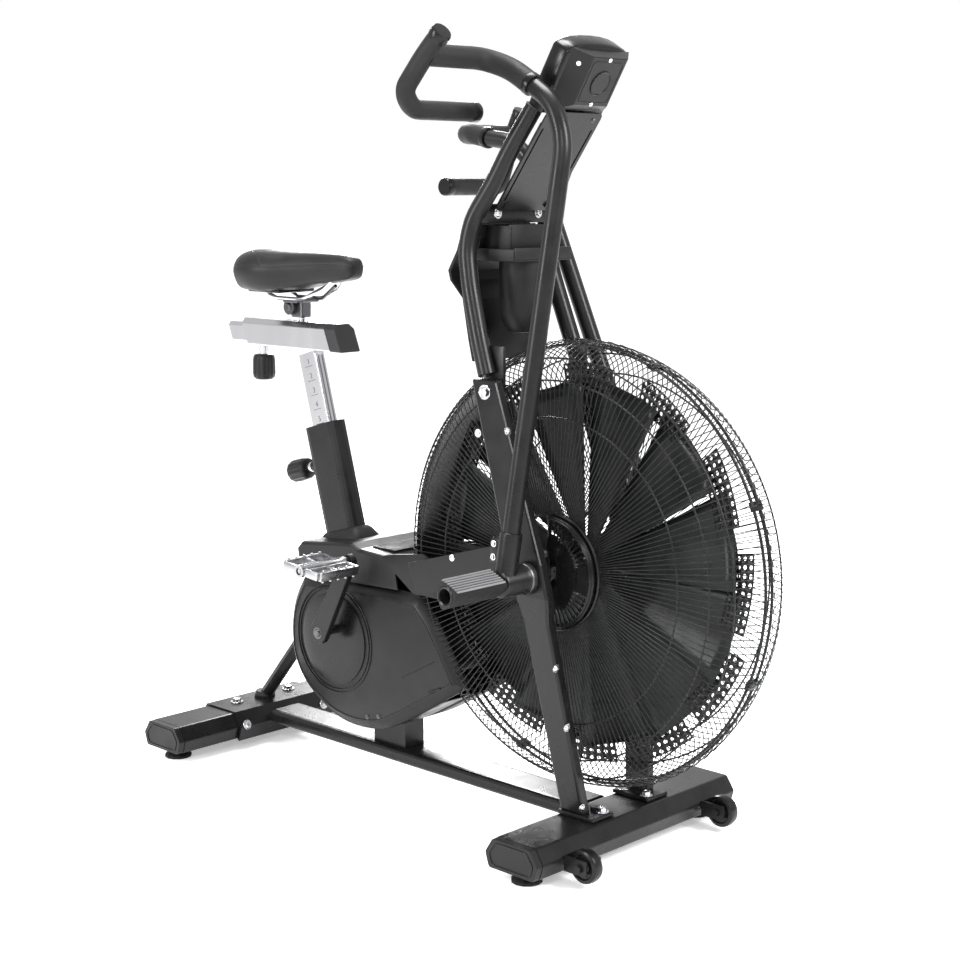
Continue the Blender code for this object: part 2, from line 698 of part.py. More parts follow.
def grip(name, side, rest):
    """Foam-covered handle loop: lateral upper grip, outer leg and lateral lower grip."""
    along = Vector((-0.047, 0.007, 0.0264)).normalized()
    start = Vector((-0.078, 0.108, 0.7816)) + along * 0.0036
    upper = [start, (-0.125, 0.113, 0.808), (-0.163, 0.140, 0.821), (-0.163, 0.267, 0.821)]
    loop = [(-0.127, 0.267, 0.8565), (-0.163, 0.267, 0.821), (-0.209, 0.267, 0.764),
            (-0.209, 0.246, 0.736), (-0.209, 0.100, 0.736)]
    upper = [(p[0], side * p[1], p[2]) for p in upper]
    loop = [(p[0], side * p[1], p[2]) for p in loop]
    bar = tube(upper, 0.0185, 10, 0.024, 3)
    join(bar, tube(loop, 0.0158, 10, 0.022, 3))
    bar = meshed(bar)
    hung(bar, name, FOAM, (0, 0, AXLE_Z), rest)


def foot_peg(name, side):
    corners = fillet([(-0.021, AXLE_Z + 0.028, 0), (-0.012, AXLE_Z - 0.029, 0),
                      (0.032, AXLE_Z + 0.004, 0)], 0.010, 3)
    low, high = span(side, 0.2170, 0.3350)
    peg = flat(corners, low, high)
    soften(peg, 0.002, 1, 60.0)
    recess = rod((0, side * 0.315, AXLE_Z), (0, side * 0.345, AXLE_Z), 0.0125)
    cut(peg, recess)
    piece(peg, name, RUBBER)


def push_rod(name, side, rest):
    """Rod from the arm's lever to the rear; its eye turns on the lever pin."""
    pin = Vector((LEVER * sin(rest), 0, AXLE_Z + LEVER * cos(rest)))
    low, high = span(side, 0.1112, 0.1188)
    eye = flat(ring_of(0.0095, 16), low, high, [ring_of(0.0044, 12)])
    away = Vector((-0.268, 0, -0.068))
    bar = tube([(-0.0075, side * 0.1150, -0.0019), (away.x, side * 0.1150, away.z)], 0.0034, 8)
    end = rod((away.x, side * 0.1112, away.z), (away.x, side * 0.1188, away.z), 0.0085, 12)
    join(eye, bar, end)
    eye = meshed(eye)
    hung(eye, name, STEEL, pin, 0.0)


# ---------------------------------------------------------------- mast
def mast_frame():
    """Two bent tubes from the fork tops to the console, tied by a cross bracket."""
    def path(side):
        line = ((-0.119, 0.1170, 0.7970), (-0.140, 0.113, 0.852), (-0.170, 0.105, 0.942),
                (-0.185, 0.098, 1.000), (-0.178, 0.091, 1.050), (-0.1385, 0.080, 1.1106),
                (-0.1075, 0.073, 1.1665), (-0.0645, 0.0635, 1.2323))
        return [(x, side * y, z) for x, y, z in line]

    frame = tube(path(-1), 0.0155, 10)
    other = tube(path(1), 0.0155, 10)
    bar = block((-0.1650, -0.088, 1.044), (-0.1590, 0.088, 1.076), 0.002, 1)
    join(frame, other, bar)
    piece(frame, "mast_frame", COAT)


PANEL_LEAN = radians(36.4)


def mast_panel():
    """Flat plate with two slots that closes the mast to the front."""
    outline = fillet([(-0.070, 0.0, 0), (0.070, 0.0, 0), (0.068, 0.197, 0), (-0.068, 0.197, 0)],
                     0.010, 3)
    slots = [fillet([(s * 0.058, 0.020, 0), (s * 0.062, 0.020, 0), (s * 0.062, 0.165, 0),
                     (s * 0.058, 0.165, 0)], 0.0018, 2) for s in (-1, 1)]
    plate = flat(outline, 0.0, 0.003, slots, plane="YZ")
    turn = Matrix.Translation((-0.1490, 0, 1.066)) @ Matrix.Rotation(PANEL_LEAN, 4, "Y")
    plate.data.transform(turn)
    studs = []
    for s in (-1, 1):
        spot = turn @ Vector((0.0, s * 0.050, 0.012))
        back = turn @ Vector((-0.0040, s * 0.050, 0.012))
        studs.append(rod(back, spot + (spot - back) * 1.6, 0.0065, 6))
    join(plate, *studs)
    piece(plate, "mast_panel", COAT)


def bottle_holder():
    """Cup with a wide tray rim, held between the mast tubes."""
    x = -0.1480
    cup = turned(((0.0340, 0.990), (0.0400, 0.990), (0.0385, 0.852), (0.0360, 0.8485),
                  (0.0, 0.8485), (0.0, 0.8515), (0.0345, 0.8530), (0.0340, 0.990)),
                 (x, 0, 0), (0, 0, 1), 24)
    outline = fillet([(x - 0.052, -0.074, 0), (x + 0.046, -0.070, 0), (x + 0.046, 0.070, 0),
                      (x - 0.052, 0.074, 0)], 0.016, 3)
    hole = ring_of(0.0370, 24, x)
    tray = flat(outline, 0.9820, 0.9860, [hole], plane="XY")
    tab = block((-0.1290, -0.030, 0.9830), (-0.1250, 0.030, 1.0280), 0.001, 1)
    join(cup, tray, tab)
    piece(cup, "bottle_holder", PLASTIC)


def mast_cover():
    """Moulded rider-side cover behind the mast tubes."""
    rear = [(-0.197, 1.066), (-0.211, 1.041), (-0.226, 0.998), (-0.247, 0.964), (-0.242, 0.947),
            (-0.213, 0.918), (-0.199, 0.848), (-0.190, 0.812)]
    front = [(-0.186, 0.812), (-0.1950, 0.849), (-0.2085, 0.915), (-0.2370, 0.946),
             (-0.2410, 0.962), (-0.2210, 0.996), (-0.2060, 1.040), (-0.192, 1.065)]
    cover = flat(rear + front, -0.080, 0.080)
    piece(cover, "mast_cover", PLASTIC)


CONSOLE_TURN = (Matrix.Translation((-0.0500, 0, 1.2350))
                @ Matrix.Rotation(radians(31.0), 4, "Y"))


def console():
    """Console housing: a rounded case with a tapered box on its forward side."""
    outline = fillet([(-0.0745, -0.008, 0), (0.0745, -0.008, 0), (0.0765, 0.050, 0),
                      (0.0765, 0.099, 0), (0.045, 0.1140, 0), (0.0, 0.1185, 0),
                      (-0.045, 0.1140, 0), (-0.0765, 0.099, 0), (-0.0765, 0.050, 0)], 0.008, 2)
    body = flat(outline, -0.0190, 0.0180, plane="YZ")
    soften(body, 0.005, 2, 50.0)
    body = meshed(body)
    box = block((0.0100, -0.070, 0.0100), (0.0435, 0.070, 0.1120), 0.0, 0)
    wedges = []
    for s in (-1, 1):
        wedge = flat(((0.0180, s * 0.0700), (0.0600, s * 0.0220), (0.0600, s * 0.0900),
                      (0.0180, s * 0.0900)), 0.0, 0.130, plane="XY")
        wedges.append(wedge)
    foot = flat(((0.0180, 0.0000), (0.0600, 0.0000), (0.0600, 0.0300), (0.0180, 0.0100)),
                -0.080, 0.080)
    box = meshed(cut(box, *wedges, foot))
    join(body, box)
    body = meshed(body)
    body.data.transform(CONSOLE_TURN)
    piece(body, "console", PLASTIC)


def console_screen():
    outline = fillet([(-0.068, 0.006, 0), (0.068, 0.006, 0), (0.068, 0.090, 0),
                      (-0.068, 0.090, 0)], 0.008, 3)
    face = flat(outline, -0.0220, -0.0193, plane="YZ")
    face.data.transform(CONSOLE_TURN)
    piece(face, "console_screen", GLASS)


# ---------------------------------------------------------------- seat
SEAT_TURN = Matrix.Translation(SEAT_P0) @ Matrix.Rotation(SEAT_TILT, 4, "Y")


def round_box(width, depth, corner, steps=3):
    return fillet([(-width / 2, -depth / 2, 0), (width / 2, -depth / 2, 0),
                   (width / 2, depth / 2, 0), (-width / 2, depth / 2, 0)], corner, steps)


def seat_prism(width, depth, corner, low, high, inner=None):
    """A straight tube along the seat axis; heights are measured from its mouth."""
    holes = [round_box(*inner)] if inner else []
    obj = flat(round_box(width, depth, corner), low, high, holes, plane="XY")
    obj.data.transform(SEAT_TURN)
    return obj


def seat_tube():
    tube_obj = seat_prism(0.086, 0.040, 0.014, -0.305, 0.008, (0.0516, 0.0266, 0.006))
    a = SEAT_TURN @ Vector((-0.042, 0, -0.0655))
    b = SEAT_TURN @ Vector((-0.052, 0, -0.0655))
    join(tube_obj, rod(a, b, 0.0125, 16))
    piece(tube_obj, "seat_tube", COAT)


def seat_post():
    post = seat_prism(0.050, 0.025, 0.005, -0.175, 0.1480)
    piece(post, "seat_post", STEEL, SEAT_P0)


def skew(obj):
    """Lean the ends of a rail part back with height."""
    lean = Matrix.Identity(4)
    lean[0][2] = -0.40
    lean[0][3] = 0.40 * 0.797
    obj.data.transform(lean)
    return obj


def rail_section(half, low, shoulder, crown):
    return fillet([(-half, low, 0), (half, low, 0), (half, shoulder, 0), (half * 0.6, crown, 0),
                   (-half * 0.6, crown, 0), (-half, shoulder, 0)], 0.003, 2)


def seat_rail():
    """Hollow housing of the fore-aft slider, slotted on top."""
    channel = rail_section(0.0195, 0.8010, 0.8340, 0.8405)
    body = flat(rail_section(0.0250, 0.7970, 0.8390, 0.8490), -0.8630, -0.6180, [channel],
                plane="YZ")
    skew(body)
    slot = block((-0.7760, -0.0070, 0.830), (-0.6670, 0.0070, 0.860))
    cut(body, slot)
    piece(body, "seat_rail", STEEL, SEAT_P0)


def seat_rail_cap():
    cap = flat(rail_section(0.0250, 0.7970, 0.8390, 0.8490), -0.6175, -0.5880, plane="YZ")
    soften(cap, 0.003, 2, 60.0)
    cap = meshed(cap)
    skew(cap)
    piece(cap, "seat_rail_cap", GREY, SEAT_P0)


def seat_slider():
    """Sliding bar with the saddle pin."""
    bar = flat(rail_section(0.0188, 0.8017, 0.8332, 0.8395), -0.9160, -0.6650, plane="YZ")
    skew(bar)
    pin = rod((SADDLE_PIN_X, 0, 0.8300), (SADDLE_PIN_X, 0, 0.8800), 0.0055, 12)
    join(bar, pin)
    piece(bar, "seat_slider", STEEL, (SADDLE_PIN_X, 0, 0.8200))


def knob(name, start, toward):
    """Fluted pull knob on a plain neck, seen along its own axis."""
    profile = ((0.0, 0.0690), (0.0170, 0.0690), (0.0215, 0.0650), (0.0225, 0.0560),
               (0.0215, 0.0280), (0.0190, 0.0200), (0.0080, 0.0180), (0.0075, 0.0), (0.0, 0.0))
    piece(turned(profile, start, toward, 16), name, PLASTIC, start)


def saddle_clamp():
    """Clamp on the saddle pin with its cross bolt and the saddle's wire rails."""
    x = SADDLE_PIN_X
    clamp = block((x - 0.019, -0.0125, 0.8560), (x + 0.013, 0.0125, 0.8900), 0.003, 2)
    bolt = rod((x - 0.014, -0.0220, 0.8760), (x - 0.014, 0.0220, 0.8760), 0.0150, 16)
    yoke = block((x - 0.024, -0.0290, 0.8850), (x + 0.018, 0.0290, 0.8930), 0.002, 1)
    bore = rod((x, 0, 0.840), (x, 0, 0.8815), 0.0058, 12)
    rails = []
    for side in (-1, 1):
        line = [(x - 0.062, side * 0.030, 0.9010), (x - 0.040, side * 0.0262, 0.8920),
                (x + 0.030, side * 0.0262, 0.8920), (x + 0.085, side * 0.0120, 0.9190)]
        rails.append(tube(line, 0.0035, 8, 0.02, 3))
    join(clamp, bolt, yoke, *rails)
    cut(clamp, bore)
    piece(clamp, "saddle_clamp", STEEL, (SADDLE_PIN_X, 0, 0.8200))


def saddle():
    """Plain solid of the saddle's outer shape."""
    stations = ((-0.860, 0.050, 0.916, 0.970), (-0.845, 0.076, 0.906, 0.981),
                (-0.805, 0.090, 0.9055, 0.988), (-0.760, 0.084, 0.9075, 0.986),
                (-0.715, 0.058, 0.9160, 0.982), (-0.670, 0.036, 0.9280, 0.980),
                (-0.615, 0.026, 0.9370, 0.979), (-0.578, 0.020, 0.9420, 0.976),
                (-0.562, 0.010, 0.9500, 0.966))
    rings = []
    for x, half, low, high in stations:
        row = []
        for k in range(16):
            t = radians(22.5) * k
            across = (abs(cos(t)) ** 0.7) * (1 if cos(t) > 0 else -1)
            up = (abs(sin(t)) ** 0.8) * (1 if sin(t) > 0 else -1)
            row.append((x, half * across, (low + high) / 2 + (high - low) / 2 * up))
        rings.append(row)
    piece(loft(rings), "saddle", LEATHER, (SADDLE_PIN_X, 0, 0.8200))


# ---------------------------------------------------------------- assembly
stabilizer("front_stabilizer", FRONT_X)
stabilizer("rear_stabilizer", REAR_X)
for tag, x_at in (("f", FRONT_X), ("r", REAR_X)):
    for letter, sign in (("l", 1), ("r", -1)):
        stabilizer_cap("stabilizer_cap_" + tag + letter, x_at, sign)
        level_foot("level_foot_" + tag + letter, x_at, sign)
main_rail()
rear_sleeve()
fan_axle()
fan_wheel()
belt()
crank_pulley()
top_cover()
beam_cover_r()
beam_cover_l()
for letter, sign, lean in (("l", 1, ARM_REST_L), ("r", -1, ARM_REST_R)):
    wheel_bracket("wheel_bracket_" + letter, sign)
    transport_wheel("transport_wheel_" + letter, sign)
    fork("fork_" + letter, sign)
    cage("cage_" + letter, sign)
    hub_cover("hub_cover_" + letter, sign, *((0.1043, 0.034) if sign > 0 else (0.0985, 0.0140)))
    crank("crank_" + letter, sign)
    pedal("pedal_" + letter, sign)
    shroud("shroud_" + letter, sign)
    arm_hub("arm_hub_" + letter, sign, lean)
    arm("arm_" + letter, sign, lean)
    grip("grip_" + letter, sign, lean)
    foot_peg("foot_peg_" + letter, sign)
    push_rod("push_rod_" + letter, sign, lean)
mast_frame()
mast_panel()
bottle_holder()
mast_cover()
console()
console_screen()
seat_tube()
seat_post()
seat_rail()
seat_rail_cap()
seat_slider()
knob("post_knob", SEAT_TURN @ Vector((-0.0525, 0, -0.0655)), (-cos(SEAT_TILT), 0, sin(SEAT_TILT)))
knob("slider_knob", Vector((-0.8445, 0, 0.7965)), (0, 0, -1))
saddle_clamp()
saddle()
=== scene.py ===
"""Visual model of the air bike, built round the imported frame. Metres, +X to the fan, +Z up."""
from math import cos, pi, radians, sin

import bmesh
import bpy
from mathutils import Matrix, Vector
from mathutils.bvhtree import BVHTree


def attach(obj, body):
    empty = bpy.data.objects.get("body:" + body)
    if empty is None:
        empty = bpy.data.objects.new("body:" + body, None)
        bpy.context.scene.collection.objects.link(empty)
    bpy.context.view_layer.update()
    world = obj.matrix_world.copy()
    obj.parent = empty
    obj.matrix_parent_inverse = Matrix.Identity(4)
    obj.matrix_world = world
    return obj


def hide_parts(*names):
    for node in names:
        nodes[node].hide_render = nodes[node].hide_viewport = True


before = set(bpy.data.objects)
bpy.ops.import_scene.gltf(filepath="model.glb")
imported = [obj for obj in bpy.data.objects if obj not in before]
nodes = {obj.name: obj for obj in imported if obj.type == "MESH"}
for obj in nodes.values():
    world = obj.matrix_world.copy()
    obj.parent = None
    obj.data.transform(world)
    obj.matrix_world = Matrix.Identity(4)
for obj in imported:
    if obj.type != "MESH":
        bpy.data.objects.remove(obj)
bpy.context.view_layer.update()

FX = 0.2793                    # fan axle, from the frame's origin
AZ = 0.4762                    # fan axle height
REST = {1: radians(-19.0), -1: radians(3.8)}
ARM = {1: "arm_left", -1: "arm_right"}
TAG = {1: "l", -1: "r"}
SEAT_TILT = radians(-16.0)
SEAT = Matrix.Translation((FX - 0.661, 0, 0.647)) @ Matrix.Rotation(SEAT_TILT, 4, "Y")
CRANK_Z = 0.287
CRANK_X = FX - 0.540
CRANK_LEN = 0.170
CRANK_REST = radians(60.0)     # right crank; the left one is opposite


def W(x, y, z):
    return Vector((x + FX, y, z))


# ---------------------------------------------------------------- materials
def material(name, color, rough, metal=0.0, grain=None, vary=0.25, coat=0.0, cells=False,
             stretch=(1, 1, 1), tint=0.25, specular=0.20):
    """Principled finish with fine grain in the normal and soft drift in roughness and colour."""
    mat = bpy.data.materials.new(name)
    mat.use_nodes = True
    tree = mat.node_tree
    shader = tree.nodes["Principled BSDF"]
    shader.inputs["Metallic"].default_value = metal
    shader.inputs["Coat Weight"].default_value = coat
    shader.inputs["Coat Roughness"].default_value = 0.12
    shader.inputs["Specular IOR Level"].default_value = specular
    coords = tree.nodes.new("ShaderNodeTexCoord")
    mapping = tree.nodes.new("ShaderNodeMapping")
    mapping.inputs["Scale"].default_value = stretch
    tree.links.new(coords.outputs["Object"], mapping.inputs["Vector"])
    drift = tree.nodes.new("ShaderNodeTexNoise")
    drift.inputs["Scale"].default_value = 26.0
    drift.inputs["Detail"].default_value = 6.0
    tree.links.new(mapping.outputs["Vector"], drift.inputs["Vector"])
    spread = tree.nodes.new("ShaderNodeMapRange")
    spread.inputs["From Min"].default_value = 0.3
    spread.inputs["From Max"].default_value = 0.7
    spread.inputs["To Min"].default_value = rough * (1 - vary)
    spread.inputs["To Max"].default_value = rough * (1 + vary)
    tree.links.new(drift.outputs["Fac"], spread.inputs["Value"])
    tree.links.new(spread.outputs["Result"], shader.inputs["Roughness"])
    blend = tree.nodes.new("ShaderNodeMix")
    blend.data_type = "RGBA"
    blend.inputs["A"].default_value = (*[c * (1 - tint) for c in color], 1)
    blend.inputs["B"].default_value = (*[c * (1 + tint) for c in color], 1)
    tree.links.new(drift.outputs["Fac"], blend.inputs["Factor"])
    tree.links.new(blend.outputs["Result"], shader.inputs["Base Color"])
    if grain:
        scale, strength, depth = grain
        if cells:
            fine = tree.nodes.new("ShaderNodeTexVoronoi")
            fine.feature = "SMOOTH_F1"
            out = fine.outputs["Distance"]
        else:
            fine = tree.nodes.new("ShaderNodeTexNoise")
            fine.inputs["Detail"].default_value = 4.0
            out = fine.outputs["Fac"]
        fine.inputs["Scale"].default_value = scale
        tree.links.new(mapping.outputs["Vector"], fine.inputs["Vector"])
        bump = tree.nodes.new("ShaderNodeBump")
        bump.inputs["Strength"].default_value = strength
        bump.inputs["Distance"].default_value = depth
        tree.links.new(out, bump.inputs["Height"])
        tree.links.new(bump.outputs["Normal"], shader.inputs["Normal"])
    return mat


COAT = material("powder_coat", (0.0070, 0.0070, 0.0074), 0.30, grain=(950, 0.22, 0.0003))
PLASTIC = material("grained_plastic", (0.0065, 0.0065, 0.0068), 0.42, grain=(1500, 0.35, 0.0003))
SATIN = material("satin_plastic", (0.0050, 0.0050, 0.0053), 0.26, grain=(1100, 0.12, 0.0002))
RUBBER = material("rubber", (0.008, 0.008, 0.008), 0.62, grain=(1300, 0.35, 0.0004))
FOAM = material("foam", (0.0080, 0.0080, 0.0080), 0.55, grain=(1700, 0.6, 0.0004))
HIDE = material("saddle_cover", (0.0085, 0.0085, 0.0088), 0.42, grain=(900, 0.55, 0.0005),
                cells=True)
HIDE_SIDE = material("saddle_side", (0.011, 0.011, 0.0115), 0.42, grain=(700, 0.4, 0.0004),
                     cells=True)
THREAD = material("thread", (0.05, 0.05, 0.05), 0.6, grain=(2500, 0.5, 0.0002))
SILVER = material("satin_silver", (0.46, 0.46, 0.475), 0.24, metal=1.0,
                  grain=(500, 0.10, 0.0002), stretch=(1, 1, 0.06), tint=0.06)
ZINC = material("zinc", (0.62, 0.62, 0.64), 0.25, metal=1.0, grain=(900, 0.2, 0.0002), tint=0.1)
DARK_STEEL = material("dark_steel", (0.10, 0.10, 0.105), 0.35, metal=1.0, grain=(900, 0.2, 0.0002))
CAST = material("pedal_alloy", (0.34, 0.34, 0.35), 0.30, metal=1.0, grain=(420, 0.5, 0.0006),
                tint=0.12)
WIRE = material("wire_coat", (0.0085, 0.0085, 0.009), 0.28, grain=(1200, 0.15, 0.0002))
BLADE = material("blade_steel", (0.010, 0.0105, 0.011), 0.30, metal=0.2, grain=(600, 0.12, 0.0003))
GREY = material("grey_cap", (0.022, 0.022, 0.023), 0.45, grain=(1500, 0.3, 0.0003))
GLASS = material("display_face", (0.006, 0.007, 0.008), 0.10, coat=0.6)
LCD = material("display_lcd", (0.16, 0.18, 0.17), 0.35)
KEY = material("key_print", (0.35, 0.36, 0.37), 0.5)
MARK = material("engraving", (0.10, 0.10, 0.11), 0.5)
STRIP = material("grip_strip", (0.15, 0.15, 0.155), 0.5, grain=(900, 0.4, 0.0004))


# ---------------------------------------------------------------- modelling helpers
def add(name, mesh, mat, body, replaced=(), smooth=35.0):
    obj = bpy.data.objects.new(name, mesh)
    bpy.context.scene.collection.objects.link(obj)
    mesh.materials.append(mat)
    if smooth is not None and isinstance(mesh, bpy.types.Mesh):
        mesh.shade_smooth()
        mesh.set_sharp_from_angle(angle=radians(smooth))
    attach(obj, body)
    if replaced:
        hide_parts(*replaced)
    return obj


def from_bm(bm, outward=False):
    """A mesh of the bmesh, its normals turned outward when asked."""
    if outward:
        bmesh.ops.recalc_face_normals(bm, faces=bm.faces)
    mesh = bpy.data.meshes.new("m")
    bm.to_mesh(mesh)
    bm.free()
    return mesh


def curves(name, lines, radius, mat, body, replaced=(), res=2, closed=False):
    """Round bars along one or more polylines, as one curve object."""
    data = bpy.data.curves.new(name, "CURVE")
    data.dimensions = "3D"
    data.bevel_depth = radius
    data.bevel_resolution = res
    data.use_fill_caps = True
    for pts in lines:
        line = data.splines.new("POLY")
        line.points.add(len(pts) - 1)
        for spot, p in zip(line.points, pts):
            spot.co = (p[0], p[1], p[2], 1.0)
        line.use_cyclic_u = closed
        line.use_smooth = True
    return add(name, data, mat, body, replaced)


def rounded(path, bend, steps=8):
    """A polyline whose corners are bent to a radius."""
    pts = [Vector(p) for p in path]
    out = [pts[0]]
    for a, b, c in zip(pts, pts[1:], pts[2:]):
        reach = min(bend, 0.48 * (a - b).length, 0.48 * (c - b).length)
        start = b + (a - b).normalized() * reach
        end = b + (c - b).normalized() * reach
        for k in range(steps + 1):
            t = k / steps
            out.append(start.lerp(b, t).lerp(b.lerp(end, t), t))
    out.append(pts[-1])
    return out


def circle(r, steps):
    return [(r * cos(2 * pi * k / steps), r * sin(2 * pi * k / steps)) for k in range(steps)]


def skin_into(bm, rows, closed=True, caps=False):
    """Quads between rows of equal length; `closed` joins each row's ends."""
    count = len(rows[0])
    for a, b in zip(rows, rows[1:]):
        for k in range(count if closed else count - 1):
            n = (k + 1) % count
            bm.faces.new((a[k], a[n], b[n], b[k]))
    if caps:
        bm.faces.new(rows[0])
        bm.faces.new(rows[-1])


def frame_to(axis):
    return Vector(axis).to_track_quat("Z", "Y").to_matrix().to_4x4()


def lathe_into(bm, profile, at, axis, steps=32):
    """A turned shape from (radius, height) pairs, its axis along `axis` from `at`."""
    turn = Matrix.Translation(at) @ frame_to(axis)
    rows = []
    for r, h in profile:
        if r < 1e-6:
            rows.append([bm.verts.new(turn @ Vector((0, 0, h)))])
        else:
            rows.append([bm.verts.new(turn @ Vector((*p, h))) for p in circle(r, steps)])
    for a, b in zip(rows, rows[1:]):
        if len(a) == 1 and len(b) == 1:
            continue
        for k in range(steps):
            n = (k + 1) % steps
            if len(a) == 1:
                bm.faces.new((a[0], b[k], b[n]))
            elif len(b) == 1:
                bm.faces.new((a[k], b[0], a[n]))
            else:
                bm.faces.new((a[k], b[k], b[n], a[n]))


def lathe(name, profile, at, axis, mat, body, replaced=(), steps=32):
    bm = bmesh.new()
    lathe_into(bm, profile, at, axis, steps)
    return add(name, from_bm(bm, True), mat, body, replaced)


def box_into(bm, low, high, bevel=0.0, segments=2):
    """A box between two corners, its edges rounded when `bevel` is set."""
    made = bmesh.ops.create_cube(bm, size=1.0)["verts"]
    size = [h - l for l, h in zip(low, high)]
    mid = Vector([(h + l) / 2 for l, h in zip(low, high)])
    for v in made:
        v.co = Vector((v.co.x * size[0], v.co.y * size[1], v.co.z * size[2])) + mid
    if bevel:
        edges = list({e for v in made for e in v.link_edges})
        bmesh.ops.bevel(bm, geom=edges, offset=bevel, segments=segments, affect="EDGES",
                        profile=0.5)


def shell(name, rings, mat, body, turn, replaced=(), smooth=40.0, caps=True):
    """A skin through rings of equal length, capped at both ends unless `caps` is off."""
    bm = bmesh.new()
    rows = [[bm.verts.new(turn @ Vector(p)) for p in ring] for ring in rings]
    skin_into(bm, rows, caps=caps)
    return add(name, from_bm(bm, True), mat, body, replaced, smooth)


def turned_box_into(bm, low, high, turn, bevel, segments=2):
    """A rounded box, made square to the axes and then turned into place."""
    part = bmesh.new()
    box_into(part, low, high, bevel, segments)
    bmesh.ops.transform(part, matrix=turn, verts=part.verts)
    temp = from_bm(part)
    bm.from_mesh(temp)
    bpy.data.meshes.remove(temp)


def block(name, low, high, mat, body, turn=None, bevel=0.0015, replaced=()):
    bm = bmesh.new()
    box_into(bm, low, high, bevel)
    if turn is not None:
        bmesh.ops.transform(bm, matrix=turn, verts=bm.verts)
    return add(name, from_bm(bm), mat, body, replaced)


def bolt_into(bm, at, axis, r, h, hexa=True):
    """A bolt head with its washer, standing on a face."""
    turn = Matrix.Translation(at) @ frame_to(axis)
    lathe_into(bm, ((0, 0.0), (r * 1.45, 0.0), (r * 1.5, h * 0.12), (r * 1.45, h * 0.24),
                    (0, h * 0.24)), at, axis, 24)
    if hexa:
        sides = 6
        rows = [[bm.verts.new(turn @ Vector((*p, h * z))) for p in circle(r * s, sides)]
                for s, z in ((1.0, 0.24), (1.06, 0.32), (1.06, 0.88), (0.92, 1.0), (0.62, 1.0),
                             (0.55, 0.93))]
        for a, b in zip(rows, rows[1:]):
            for k in range(sides):
                bm.faces.new((a[k], b[k], b[(k + 1) % sides], a[(k + 1) % sides]))
        bm.faces.new(rows[-1])
        bm.faces.new(rows[0])
    else:
        lathe_into(bm, ((0, h * 0.24), (r, h * 0.24), (r, h * 0.6), (r * 0.82, h * 0.9),
                        (r * 0.5, h), (r * 0.42, h), (r * 0.40, h * 0.55), (0, h * 0.55)),
                   at, axis, 20)


def bolts(name, places, r, h, mat, body, hexa=True):
    bm = bmesh.new()
    for at, axis in places:
        bolt_into(bm, Vector(at), Vector(axis), r, h, hexa)
    return add(name, from_bm(bm, True), mat, body, smooth=30.0)


def solidify(obj, thickness, offset=0.0):
    mod = obj.modifiers.new("wall", "SOLIDIFY")
    mod.thickness = thickness
    mod.offset = offset
    return obj


def repaint(mat, *names):
    for name in names:
        obj = nodes[name]
        for k in range(len(obj.material_slots)):
            obj.material_slots[k].material = mat


# ---------------------------------------------------------------- carried-over CAD nodes
repaint(COAT, "front_stabilizer", "rear_stabilizer", "main_rail", "rear_sleeve", "fork_l",
        "fork_r", "crank_l", "crank_r", "mast_panel", "seat_tube", "wheel_bracket_l",
        "wheel_bracket_r")
repaint(SILVER, "seat_rail", "seat_post", "seat_slider")
repaint(ZINC, "fan_axle", "push_rod_l", "push_rod_r")
repaint(DARK_STEEL, "crank_pulley", "saddle_clamp")
repaint(PLASTIC, "stabilizer_cap_fl", "stabilizer_cap_fr", "stabilizer_cap_rl",
        "stabilizer_cap_rr", "top_cover", "beam_cover_l", "beam_cover_r", "mast_cover")
repaint(RUBBER, "level_foot_fl", "level_foot_fr", "level_foot_rl", "level_foot_rr", "belt",
        "foot_peg_l", "foot_peg_r")
repaint(GREY, "seat_rail_cap")
repaint(GLASS, "console_screen")


# ---------------------------------------------------------------- cage
def ring(radius, y):
    """A circle round the fan axle."""
    return [W(x, y, AZ + z) for x, z in circle(radius, 120)]


RIM = ((0.097, 0.0815), (0.200, 0.0815), (0.304, 0.0815), (0.320, 0.0805), (0.336, 0.0755),
       (0.350, 0.0660), (0.361, 0.0520), (0.369, 0.0350), (0.3745, 0.0190), (0.3775, 0.0080))
HAIRPINS = 96
LOOP_R = 0.3795


def cage(side):
    lines = []
    step = pi / HAIRPINS
    for k in range(HAIRPINS):
        a = 2 * k * step
        b = a + step
        out = [W(r * cos(a), side * y, AZ + r * sin(a)) for r, y in RIM]
        mid = (a + b) / 2
        top = [W(LOOP_R * cos(t), side * 0.0032, AZ + LOOP_R * sin(t))
               for t in (mid - 0.25 * step, mid + 0.25 * step)]
        back = [W(r * cos(b), side * y, AZ + r * sin(b)) for r, y in reversed(RIM)]
        lines.append(out + top + back)
    curves("cage_wires_" + TAG[side], lines, 0.00095, WIRE, "base", ("cage_" + TAG[side],), res=1)
    curves("cage_hub_ring_" + TAG[side], [ring(0.0965, side * 0.0815)], 0.0030, WIRE, "base",
           res=3, closed=True)
    curves("cage_rings_" + TAG[side], [ring(0.317, side * 0.0788), ring(0.256, side * 0.0795),
                                       ring(0.352, side * 0.0620)], 0.0016, WIRE, "base",
           res=2, closed=True)
    curves("cage_rim_" + TAG[side], [ring(0.3715, side * 0.0085)], 0.0026, WIRE, "base",
           res=2, closed=True)


for s in (1, -1):
    cage(s)

bm = bmesh.new()
for k in range(8):
    a = radians(22.5 + 45 * k)
    turn = (Matrix.Translation(W(0.3715 * cos(a), 0, AZ + 0.3715 * sin(a)))
            @ Matrix.Rotation(-a, 4, "Y"))
    turned_box_into(bm, (-0.0042, -0.0125, -0.008), (0.0042, 0.0125, 0.008), turn, 0.0012)
add("cage_clips", from_bm(bm), SATIN, "base")

